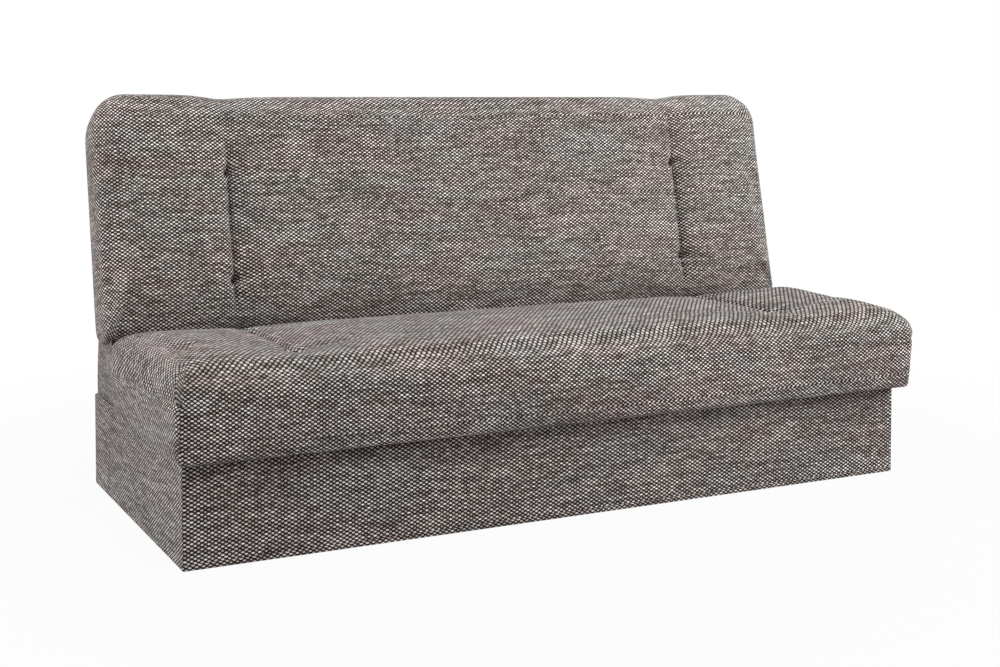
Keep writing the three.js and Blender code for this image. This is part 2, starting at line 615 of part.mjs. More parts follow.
// The pawl hooks up into the notch below the pivot and turns down on its stud
function pawl(sx) {
  const x0 = sx * BACK_ARM_X;
  const x1 = sx * (BACK_ARM_X + PLATE);
  const pin = [PIVOT_Y - PAWL_PIN_FORWARD, PIVOT_Z - PAWL_PIN_DOWN];
  const heelZ = PIVOT_Z - TOOTH_TIP - TOOTH_CLEARANCE - PAWL_HEEL;
  const tipZ = PIVOT_Z - TOOTH_ROOT - TOOTH_CLEARANCE;
  const slope = (NOTCH_MOUTH_HALF - NOTCH_ROOT_HALF) / (TOOTH_TIP + TOOTH_CLEARANCE - TOOTH_ROOT);
  const narrow = NOTCH_ROOT_HALF - TOOTH_CLEARANCE;
  const wide = narrow + slope * (tipZ - heelZ - PAWL_HEEL);
  const tooth = new THREE.Shape();
  tooth.moveTo(PIVOT_Y - narrow, tipZ);
  tooth.lineTo(PIVOT_Y - wide, heelZ + PAWL_HEEL);
  tooth.lineTo(PIVOT_Y - wide, heelZ);
  tooth.lineTo(PIVOT_Y + wide, heelZ);
  tooth.lineTo(PIVOT_Y + wide, heelZ + PAWL_HEEL);
  tooth.lineTo(PIVOT_Y + narrow, tipZ);
  tooth.closePath();
  const body = join(
    sidePlate(tooth, x0, x1),
    sidePlate(bar(PIVOT_Y, heelZ, ...pin, 2 * PAWL_HEEL), x0, x1, 6),
    sidePlate(disc(...pin, PAWL_EYE), x0, x1, 8),
    sidePlate(bar(...pin, pin[0] - PAWL_TAIL, pin[1] - PAWL_TAIL_DROP, PAWL_EYE), x0, x1, 4));
  return cut(body, sidePlate(disc(...pin, PAWL_PIN_RADIUS + SEATED), x0 - sx * OVERRUN, x1 + sx * OVERRUN, 6));
}

// Round room in the foam for the hub, the quadrant and the nut, along one end of the pivot
function hubRoom(sx, y, z) {
  return sidePlate(disc(y, z, HUB_RADIUS + SOFT_GAP), sx * (RAIL_OUT_X - NUT - SOFT_GAP),
    sx * (SLOT_OUT_X + BOLT_HEAD), 8);
}

// Seat

function seatFrame(seat) {
  const front = SEAT_FRONT_Y + FRAME_INSET;
  const rear = PIVOT_Y - PIVOT_CLEAR;
  const z0 = SEAT_BOTTOM + FRAME_FOOT;
  const z1 = z0 + RAIL_HEIGHT;
  const rail = (name, x0, x1, y0, y1, top = z1) =>
    addMesh(seat, name, span(x0, x1, y0, y1, z0, top), timber());
  rail('seat_left_rail', -RAIL_OUT_X, -RAIL_OUT_X + RAIL, front, rear);
  rail('seat_right_rail', RAIL_OUT_X - RAIL, RAIL_OUT_X, front, rear);
  const inner = RAIL_OUT_X - RAIL - SEATED;
  rail('seat_front_rail', -inner, inner, front, front + RAIL);
  rail('seat_rear_rail', -inner, inner, rear - RAIL, rear);
  for (const [sideName, sx] of sides) {
    const x = sx * CROSS_RAIL_AT;
    const geometry = span(x - CROSS_RAIL / 2, x + CROSS_RAIL / 2, front + RAIL + SEATED, rear - RAIL - SEATED,
      z1 - CROSS_RAIL_HEIGHT, z1);
    addMesh(seat, `seat_cross_rail_${sideName}`, geometry, timber());
  }
  addMesh(seat, 'seat_deck', deck(RAIL_OUT_X, front, rear).translate(0, 0, z1 + SEATED), hardboard());
}

// A hardboard deck with a line of breathing holes, flat on z = 0
function deck(halfX, y0, y1) {
  const sheet = new THREE.Shape();
  sheet.moveTo(-halfX, y0);
  sheet.lineTo(halfX, y0);
  sheet.lineTo(halfX, y1);
  sheet.lineTo(-halfX, y1);
  sheet.closePath();
  const count = Math.max(1, Math.floor((halfX - 2 * VENT_RADIUS) / VENT_PITCH));
  for (let k = -count; k <= count; k++) {
    sheet.holes.push(new THREE.Path().absarc(k * VENT_PITCH, (y0 + y1) / 2, VENT_RADIUS, 0, 2 * Math.PI, true));
  }
  return new THREE.ExtrudeGeometry(sheet, { depth: DECK, bevelEnabled: false, curveSegments: 5 });
}

function seatCushion() {
  const front = SEAT_FRONT_Y + FRAME_INSET - SEATED;
  const frameTop = SEAT_BOTTOM + FRAME_FOOT + RAIL_HEIGHT + DECK + 2 * SEATED;
  const under = SEAT_BOTTOM - OVERRUN;
  const behind = PIVOT_Y + OVERRUN;
  const wide = RAIL_OUT_X + SEATED;
  const tools = [span(-wide, wide, front, PIVOT_Y - PIVOT_CLEAR + SEATED, under, frameTop)];
  for (const [, sx] of sides) {
    const x0 = sx * (RAIL_OUT_X - NUT - SOFT_GAP);
    const x1 = sx * SLOT_OUT_X;
    const low = Math.min(x0, x1);
    const high = Math.max(x0, x1);
    const slotFront = PIVOT_Y - SEAT_ARM_REACH - ARM_WIDTH / 2 - SLOT_MARGIN;
    const bendFront = PIVOT_Y - SEAT_ARM_BEND - ARM_WIDTH / 2 - SOFT_GAP;
    tools.push(span(low, high, slotFront, behind, under, frameTop));
    tools.push(span(low, high, bendFront, behind, under, PIVOT_Z));
    tools.push(hubRoom(sx, PIVOT_Y, PIVOT_Z));
  }
  return cut(seatShell(), ...tools);
}

function buildSeat(seat) {
  seatFrame(seat);
  addMesh(seat, 'seat_cushion', seatCushion(), fabric());
  for (const [sideName, sx] of sides) {
    addMesh(seat, `seat_arm_${sideName}`, seatArm(sx), steel());
    addMesh(seat, `pawl_${sideName}`, pawl(sx), steel());
  }
}

// Back, in its own frame: the pivot is the origin, z runs up the back and y through it

function backFrame(back) {
  const y1 = BACK_REAR - REAR_PANEL - SEATED;
  const y0 = y1 - RAIL_HEIGHT;
  const bottom = PIVOT_CLEAR;
  const top = BACK_LENGTH - FRAME_INSET - WING_RISE;
  const rail = (name, x0, x1, z0, z1) => addMesh(back, name, span(x0, x1, y0, y1, z0, z1), timber());
  rail('back_left_rail', -RAIL_OUT_X, -RAIL_OUT_X + RAIL, bottom, top);
  rail('back_right_rail', RAIL_OUT_X - RAIL, RAIL_OUT_X, bottom, top);
  const inner = RAIL_OUT_X - RAIL - SEATED;
  rail('back_bottom_rail', -inner, inner, bottom, bottom + RAIL);
  rail('back_top_rail', -inner, inner, top - RAIL, top);
  for (const [sideName, sx] of sides) {
    const x = sx * CROSS_RAIL_AT;
    const geometry = span(x - CROSS_RAIL / 2, x + CROSS_RAIL / 2, y0, y0 + CROSS_RAIL_HEIGHT,
      bottom + RAIL + SEATED, top - RAIL - SEATED);
    addMesh(back, `back_cross_rail_${sideName}`, geometry, timber());
  }
  const sheet = deck(RAIL_OUT_X, bottom, top).rotateX(Math.PI / 2).translate(0, y0 - SEATED, 0);
  addMesh(back, 'back_deck', sheet, hardboard());
}

function backCushion() {
  const frameRear = BACK_REAR - REAR_PANEL - SEATED;
  const frameFront = frameRear - RAIL_HEIGHT - DECK - 2 * SEATED;
  const bottom = PIVOT_CLEAR - SEATED;
  const top = BACK_LENGTH - FRAME_INSET - WING_RISE + SEATED;
  const behind = BACK_REAR + OVERRUN;
  const wide = RAIL_OUT_X + SEATED;
  const tools = [span(-wide, wide, frameFront, behind, bottom, top)];
  for (const [, sx] of sides) {
    const x0 = sx * (RAIL_OUT_X - NUT - SOFT_GAP);
    const x1 = sx * SLOT_OUT_X;
    const low = Math.min(x0, x1);
    const high = Math.max(x0, x1);
    const slotTop = BACK_ARM_REACH + ARM_WIDTH / 2 + SLOT_MARGIN;
    tools.push(span(low, high, 0, behind, -OVERRUN, slotTop));
    tools.push(hubRoom(sx, 0, 0));
  }
  return cut(backShell(), ...tools);
}

// The board behind the frame, cut away at its lower corners where the hinge plates pass
function backRearPanel() {
  const y0 = BACK_REAR - REAR_PANEL;
  const wide = RAIL_OUT_X;
  const bottom = PIVOT_CLEAR;
  const top = BACK_LENGTH - FRAME_INSET - WING_RISE;
  return span(-wide, wide, y0, BACK_REAR, bottom, top);
}

function buildBack(back) {
  backFrame(back);
  addMesh(back, 'back_cushion', backCushion(), fabric());
  addMesh(back, 'back_rear_panel', backRearPanel(), fabric());
  for (const [sideName, sx] of sides) addMesh(back, `back_arm_${sideName}`, backArm(sx), steel());
}

// The rear skirt closes the gap between chest and back. It is a thin wall that follows a
// U-shaped line in plan, with its top edge under the back's lower end.
function rearSkirt() {
  const front = PIVOT_Y - SKIRT_FRONT;
  const footRear = CHEST_REAR_Y - SKIRT_FOOT_INSET;
  const lowerEnd = (y) => PIVOT_Z + CREASE_GAP / Math.cos(RECLINE) - (y - PIVOT_Y) * Math.tan(RECLINE);
  const headRear = PIVOT_Y + BACK_REAR * Math.cos(RECLINE) - SKIRT;
  const foot = CHEST_HEIGHT + SEATED;
  const levels = 5;
  const rows = [];
  for (let k = 0; k <= levels; k++) {
    const t = k / levels;
    const sag = SKIRT_SAG * Math.sin(Math.PI * t);
    const rear = THREE.MathUtils.lerp(footRear, headRear, t) - sag;
    const half = THREE.MathUtils.lerp(CHEST_WIDTH / 2 - SKIRT_FOOT_INSET, WIDTH / 2 - SKIRT_HEAD_INSET, t) - sag;
    const ring = [];
    const put = (x, y) => {
      const top = lowerEnd(THREE.MathUtils.lerp(front, headRear, (y - front) / (rear - front))) - SKIRT;
      ring.push([x, y, THREE.MathUtils.lerp(foot, top, t)]);
    };
    for (const y of [front, (front + rear) / 2, rear]) put(-half, y);
    for (const y of [rear, (front + rear) / 2, front]) put(half, y);
    for (const y of [front, (front + rear) / 2, rear - SKIRT]) put(half - SKIRT, y);
    for (const y of [rear - SKIRT, (front + rear) / 2, front]) put(-half + SKIRT, y);
    rows.push(ring);
  }
  const count = rows[0].length;
  const position = rows.flat(2);
  const index = [];
  for (let k = 0; k < levels; k++) {
    for (let a = 0; a < count; a++) {
      const b = (a + 1) % count;
      const [p, q, r, s] = [k * count + a, k * count + b, (k + 1) * count + b, (k + 1) * count + a];
      index.push(p, r, q, p, s, r);
    }
  }
  // Each end edge is a strip of six quads between the outer and the inner line
  for (const [row, flip] of [[0, false], [levels, true]]) {
    for (let a = 0; a + 1 < count / 2; a++) {
      const outer = row * count + a;
      const innerEdge = row * count + count - 1 - a;
      const quad = [outer, outer + 1, innerEdge - 1, innerEdge];
      const [p, q, r, s] = flip ? quad.reverse() : quad;
      index.push(p, q, r, p, r, s);
    }
  }
  const geometry = new THREE.BufferGeometry();
  geometry.setAttribute('position', new THREE.Float32BufferAttribute(position, 3));
  geometry.setIndex(index);
  geometry.computeVertexNormals();
  return geometry;
}

const sofa = new THREE.Group();
const chest = new THREE.Group();
const seat = new THREE.Group();
const back = new THREE.Group();
back.position.set(0, PIVOT_Y, PIVOT_Z);
back.rotation.x = -RECLINE;
sofa.add(chest, seat, back);

chestBoards(chest);
chestInside(chest);
chestCover(chest);
chestGlides(chest);
chestHinges(chest);
addMesh(chest, 'rear_skirt', rearSkirt(), fabric());
buildSeat(seat);
buildBack(back);

export default sofa;
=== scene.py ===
"""Click clack sofa bed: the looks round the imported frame, laid out as an add-on and run as a script.

Lengths are in metres, in the frame's own axes: X across, Y from front to rear, Z up.
"""

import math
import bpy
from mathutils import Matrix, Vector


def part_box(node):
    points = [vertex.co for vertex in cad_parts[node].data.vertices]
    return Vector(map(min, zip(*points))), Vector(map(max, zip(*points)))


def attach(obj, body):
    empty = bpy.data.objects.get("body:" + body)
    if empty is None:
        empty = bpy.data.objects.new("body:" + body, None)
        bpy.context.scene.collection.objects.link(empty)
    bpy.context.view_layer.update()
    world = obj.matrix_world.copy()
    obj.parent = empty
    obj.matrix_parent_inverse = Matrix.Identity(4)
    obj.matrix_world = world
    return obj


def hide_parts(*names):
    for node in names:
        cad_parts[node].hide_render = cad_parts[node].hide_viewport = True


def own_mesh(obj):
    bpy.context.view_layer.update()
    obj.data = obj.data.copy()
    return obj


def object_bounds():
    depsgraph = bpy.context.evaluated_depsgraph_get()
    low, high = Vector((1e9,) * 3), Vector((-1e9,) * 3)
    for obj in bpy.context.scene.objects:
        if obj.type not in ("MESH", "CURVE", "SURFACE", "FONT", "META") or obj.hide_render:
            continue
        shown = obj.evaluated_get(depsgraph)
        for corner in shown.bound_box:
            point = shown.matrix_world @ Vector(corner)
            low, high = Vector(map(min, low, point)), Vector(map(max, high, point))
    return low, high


bl_info = {
    "name": "Click Clack Sofa Bed",
    "version": (1, 0, 0),
    "blender": (4, 5, 0),
    "location": "View3D > Sidebar > Sofa bed",
    "description": "Upholstery, finishes and studio for a click clack sofa bed",
    "category": "Object",
}

from types import SimpleNamespace

import bpy
import numpy as np
from bpy.props import FloatProperty, FloatVectorProperty, IntProperty, PointerProperty
from mathutils import Matrix, Vector

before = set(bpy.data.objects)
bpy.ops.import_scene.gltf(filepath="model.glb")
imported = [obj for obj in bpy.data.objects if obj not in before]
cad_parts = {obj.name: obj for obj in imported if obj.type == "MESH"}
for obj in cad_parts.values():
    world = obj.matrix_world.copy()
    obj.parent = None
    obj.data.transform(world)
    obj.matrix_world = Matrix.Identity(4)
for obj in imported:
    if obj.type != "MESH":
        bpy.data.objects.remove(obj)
CAD_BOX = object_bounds()

# The cushions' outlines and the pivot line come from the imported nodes
SEAT_LOW, SEAT_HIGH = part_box("seat_cushion")
CHEST_LOW, CHEST_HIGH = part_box("chest_cover")
SKIRT_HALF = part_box("rear_skirt")[1].x
BOLT_LOW, BOLT_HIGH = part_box("pivot_bolt_left")
PIVOT = Vector((0, (BOLT_LOW.y + BOLT_HIGH.y) / 2, (BOLT_LOW.z + BOLT_HIGH.z) / 2))
RECLINE = math.radians(12)
BACK_PLACE = Matrix.Translation(PIVOT) @ Matrix.Rotation(-RECLINE, 4, "X")
BACK_LENGTH, BACK_REAR = 0.602, 0.145
SIDES = (-1, 1)

# Each cushion starts this far from the pivot line
PIVOT_GAP = 0.007

# Room that the frame and the hinge plates need inside the foam
FRAME_HALF = 0.8944
SLOT_IN, SLOT_OUT, HUB_OUT = 0.8841, 0.9114, 0.9154
HUB_RADIUS = 0.023
CUT_PAST = 0.05
SEAT_ROOM_LOW, SEAT_ROOM_HIGH = 0.17, 0.3069

# Cushion grids: height of a ring, steps of a roll, and how far in the lip and the underside lie
RING_HIGH = 0.014
ROLL_STEPS = 9
LIP_IN, UNDER_IN = 0.010, 0.024


# Settings


def length(name, default, description):
    """A setting in metres."""
    return FloatProperty(name=name, description=description, default=default, unit="LENGTH")


def number(name, default, description):
    """A plain setting."""
    return FloatProperty(name=name, description=description, default=default)


def colour(name, default, description):
    """A setting that is a colour."""
    return FloatVectorProperty(name=name, description=description, subtype="COLOR", default=default)


class SofaShape(bpy.types.PropertyGroup):
    """Sizes of the upholstery."""

    roll: length("Roll", 0.058, "Radius of the rolled front and top edges")
    side_roll: length("Side roll", 0.027, "Width of the tighter roll along the sides")
    side_deep: length("Side roll height", 0.038, "Height of the roll along the sides")
    corner: length("Corner", 0.014, "Radius of the cushions' square corners")
    top_corner: length("Top corner", 0.084, "Radius of the back's upper corners")
    seat_draw: length("Seat draw", 0.008, "The seat's sides drawn in at its rim")
    back_draw: length("Back draw", 0.015, "The back's sides drawn in at its rear")
    crown: length("Crown", 0.007, "Rise of the face before it is padded")
    wing: length("Wing", 0.006, "Rise of the back's outer panels over the middle one")
    channel_at: length("Channels", 0.648, "Sewn channels either side of the middle")
    crease: length("Crease", 0.011, "Depth of the sewn crease in a channel")
    tuft: length("Tuft", 0.042, "Depth of the pinch at a tuft")
    spacing: length("Spacing", 0.0125, "Width of a cell of the cushions' grids")
    swell_cap: length("Swell", 0.010, "Furthest that the padding pushes the cloth out")
    frames: IntProperty(name="Steps", description="Steps of the cloth simulation", default=20)


class SofaFinish(bpy.types.PropertyGroup):
    """Colours and weave."""

    light_yarn: colour("Light yarn", (0.98, 0.885, 0.862), "Off-white yarn")
    middle_yarn: colour("Middle yarn", (0.275, 0.211, 0.191), "Taupe yarn")
    dark_yarn: colour("Dark yarn", (0.0130, 0.0055, 0.0040), "Brown black ground")
    pitch: length("Pitch", 0.01295, "One stitch across")
    row: length("Row", 0.00446, "Height of one row")
    timber: colour("Timber", (0.50, 0.31, 0.15), "Raw pine")
    chipboard: colour("Chipboard", (0.42, 0.28, 0.15), "Raw chipboard")
    hardboard: colour("Hardboard", (0.16, 0.075, 0.032), "Oil-tempered hardboard")
    zinc: colour("Zinc", (0.56, 0.57, 0.58), "Zinc-plated steel")
    plastic: colour("Plastic", (0.012, 0.012, 0.012), "Moulded glide")
    lining: colour("Lining", (0.020, 0.019, 0.019), "Dust cloth inside the cushions")


class SofaStudio(bpy.types.PropertyGroup):
    """Camera and lamps."""

    lens: number("Lens", 54.889, "Focal length in millimetres")
    room: number("Room", 0.45, "Strength of the light from all round")
    key: number("Key", 0.39, "Strength of the lamp above")
    side: number("Side", 0.56, "Strength of the lamp at the left")
    right: number("Right", 0.86, "Strength of the lamp at the right")


# Meshes


def mesh_from_faces(name, points, quads, loops=(), uv=None, slots=None):
    """A mesh from whole arrays: points (n, 3), quads (m, 4) and any longer rings of corners. uv is one pair
    per corner, in the faces' order, and slots one material number per face."""
    corners = np.concatenate([np.asarray(quads, np.int32).ravel(), *[np.asarray(r, np.int32) for r in loops]])
    lengths = np.concatenate([np.full(len(quads), 4, np.int32), np.array([len(r) for r in loops], np.int32)])
    starts = np.concatenate([[0], np.cumsum(lengths)[:-1]]).astype(np.int32)
    mesh = bpy.data.meshes.new(name)
    mesh.vertices.add(len(points))
    mesh.loops.add(len(corners))
    mesh.polygons.add(len(lengths))
    mesh.vertices.foreach_set("co", np.asarray(points, np.float32).ravel())
    mesh.loops.foreach_set("vertex_index", corners)
    mesh.polygons.foreach_set("loop_start", starts)
    if slots is not None:
        mesh.polygons.foreach_set("material_index", np.asarray(slots, np.int32))
    mesh.update(calc_edges=True)
    if uv is not None:
        layer = mesh.uv_layers.new(name="UVMap")
        layer.data.foreach_set("uv", np.asarray(uv, np.float32).ravel())
    smooth(mesh)
    mesh.validate()
    return mesh


def smooth(mesh):
    """Shades every face smooth."""
    mesh.polygons.foreach_set("use_smooth", np.ones(len(mesh.polygons), bool))


def show(name, mesh, materials, body=None):
    """Puts a mesh in the scene as a piece that rides on a body."""
    piece = bpy.data.objects.new(name, mesh)
    bpy.context.scene.collection.objects.link(piece)
    for material in materials:
        mesh.materials.append(material)
    if body:
        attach(piece, body)
    return piece


def points_of(mesh):
    """A mesh's points as an array (n, 3)."""
    co = np.empty(len(mesh.vertices) * 3, np.float32)
    mesh.vertices.foreach_get("co", co)
    return co.reshape(-1, 3).astype(float)


def set_points(mesh, co):
    """Moves a mesh's points to those of an array (n, 3)."""
    mesh.vertices.foreach_set("co", np.asarray(co, np.float32).ravel())
    mesh.update()


def finished(piece):
    """Applies a piece's modifiers: its mesh becomes the evaluated one."""
    graph = bpy.context.evaluated_depsgraph_get()
    graph.update()
    shown = piece.evaluated_get(graph)
    mesh = bpy.data.meshes.new_from_object(shown, preserve_all_data_layers=True, depsgraph=graph)
    old = piece.data
    piece.modifiers.clear()
    piece.data = mesh
    bpy.data.meshes.remove(old)
    return mesh


def smooth_step(value, low, high):
    """0 below low, 1 above high, and 3t2 - 2t3 between them."""
    t = np.clip((value - low) / (high - low), 0, 1)
    return t * t * (3 - 2 * t)


def bell(distance, width):
    """A bell curve: 1 at no distance, and exp(-1) at width."""
    return np.exp(-((distance / width) ** 2))


def evenly(stops, spacings):
    """Places from the first stop to the last, every stop among them, each stretch in steps of about its
    spacing."""
    parts = [
        np.linspace(a, b, max(2, int(round((b - a) / spacing)) + 1))[:-1]
        for a, b, spacing in zip(stops, stops[1:], spacings)
    ]
    return np.concatenate([*parts, [stops[-1]]])


def from_corner(x, y, half_x, half_y, corner):
    """How far a point lies past the rectangle that the corners' centres span, in x and in y."""
    return x - np.clip(x, corner - half_x, half_x - corner), y - np.clip(y, corner - half_y, half_y - corner)


def on_outline(u, v, half_x, half_y, corner):
    """The point at shares u and v of a rectangle whose corners are rounded: in a corner the square ring at
    that distance from the corner's centre becomes a round one."""
    x, y = u * half_x, v * half_y
    dx, dy = from_corner(x, y, half_x, half_y, corner)
    away = np.hypot(dx, dy)
    in_corner = (dx != 0) & (dy != 0)
    scale = np.where(in_corner, np.maximum(np.abs(dx), np.abs(dy)) / np.where(away == 0, 1, away), 1)
    return x - dx + dx * scale, y - dy + dy * scale


class Pad(SimpleNamespace):
    """One cushion, which is made lying with its sitting face up: x across, y along it from its middle, z
    thick. half_x, half_y, thickness: its size. corners: its outline's radii at the low and the high end.
    draw: how far its sides come in at the rim. spots: the tufts' places along the channels. seam: the side
    seam's height at each end. stretch: how much wider apart the rows of its cloth lie on the face. groove:
    the side seam's depth. hinge: 1 where the high end lies at the pivot, -1 where the low one does.
    face_from: the height from which the thread holds. ease: how much less the hinge's end swells, and from
    where. dent, pinch, wide: depth before padding in a channel and at a tuft, and their width. line, thread,
    fold: shares of y for that depth, for the hold of the channel's thread and for its crease. shift: what
    else moves a point, along and up."""

    blend = 0.012

    def row_at(self, y):
        """The cloth's own length at a place along the face. From the turn first of the front roll the rows
        lie evenly in height, until that sets them stretch times as far apart, and they stay so on the
        face."""
        roll, start = self.shape.roll, self.shape.roll * (1 - math.pi / 2) - self.half_y
        first = 0.6
        last = math.acos(math.cos(first) / self.stretch)
        turn = np.clip((y - start) / roll, first, last)
        past = np.maximum(0, y - start - roll * last)
        rise = roll * (first + (np.sin(turn) - math.sin(first)) / math.cos(first))
        return np.where(y < start + roll * first, y, start + rise + past / self.stretch)

    def seam_at(self, y):
        """The side seam's height, on a straight line between its two ends."""
        return self.seam[0] + (self.seam[1] - self.seam[0]) * (y / self.half_y + 1) / 2

    def roll_deep(self, u, v):
        """Height of the roll: the ends' roll gives way to the sides' by the distances to the two edges."""
        from_side = self.half_x * (1 - np.abs(u)) + self.blend
        from_end = self.half_y * (1 - np.abs(v)) + self.blend
        return self.shape.roll + (self.shape.side_deep - self.shape.roll) * from_end / (from_side + from_end)

    def plan(self, u, v, inset, turn=0.0):
        """Plan of the ring that is set in by inset and has turned over the roll by turn. Its corners widen as
        it turns, to the mean of the two rolls."""
        over = 1 - math.cos(turn)
        corner = np.where(v < 0, *self.corners)
        radius = corner + over * np.maximum(0, (self.shape.side_roll + self.shape.roll - corner) / 2)
        half_x = self.half_x - inset - self.shape.side_roll * over
        return on_outline(u, v, half_x, self.half_y - inset - self.shape.roll * over, radius)

    def facing(self, u, v):
        """Outward direction of the outline in plan."""
        corner = np.where(v < 0, *self.corners)
        away = np.stack(from_corner(u * self.half_x, v * self.half_y, self.half_x, self.half_y, corner), 1)
        return away / np.linalg.norm(away, axis=1, keepdims=True)

    def stations(self, half, places):
        """Places of the grid's lines along one side, finer on the rolls and beside channels or tufts."""
        roll, near, step = self.shape.roll, 0.026, self.shape.spacing
        fine = step * 0.45
        beside = [place + away for place in places for away in (-near, 0, near)]
        stops = [-half, roll - half, *beside, half - roll, half]
        return evenly(stops, [fine, step, fine, fine, step, fine, fine, step, fine])

    def from_channel(self, x):
        """Distance to the nearer channel."""
        return np.abs(np.abs(x) - self.shape.channel_at)

    def pressed(self, points):
        """The start shape: the face goes down by a bell across each channel and round each tuft, and moves by
        shift. What moves it up or down fades out below the face."""
        x, y, z = points.T
        off = self.from_channel(x)
        down = self.dent * bell(off, self.wide) * self.line(y)
        for spot in self.spots:
            down = np.maximum(down, self.pinch * bell(np.hypot(off, y - spot), self.wide + 0.002))
        along, up = self.shift(x, y)
        return np.stack([x, y + along, z + (up - down) * smooth_step(z / self.thickness, 0.3, 1.0)], 1)

    def hold(self, points):
        """How firmly each point is held while the pad swells: wholly at the stapled foot and the tufts, less
        along the channels' thread and at the hinge's end."""
        x, y, z = points.T
        off = self.from_channel(x)
        on_face = z > self.face_from
        held = np.maximum(np.where(z < 0.002, 1.0, 0.0), (off < 0.004) * on_face * self.thread(y))
        for spot in self.spots:
            held = np.maximum(held, (np.hypot(off, y - spot) < 0.012) * on_face)
        return np.maximum(held, 0.5 * (y * self.hinge > self.half_y - 0.004))

    def cap(self, points):
        """Furthest that each point may swell: 3 mm at the sides, swell_cap on the face, and nothing at the
        foot."""
        _, y, z = points.T
        side = 0.003 + (self.shape.swell_cap - 0.003) * smooth_step(z / self.thickness, 0.85, 1.0)
        share, near = self.ease
        end = 1 - share * smooth_step(y * self.hinge, self.half_y - 0.05, self.half_y - near)
        return side * end * smooth_step(z, 0.0, 0.03)


def cells(grid, flip=False):
    """The corners of every cell of a grid, four to a cell, round one way or the other."""
    corners = grid[:-1, :-1], grid[:-1, 1:], grid[1:, 1:], grid[1:, :-1]
    return np.stack([corners[k] for k in ((0, 3, 2, 1) if flip else (0, 1, 2, 3))], 2)


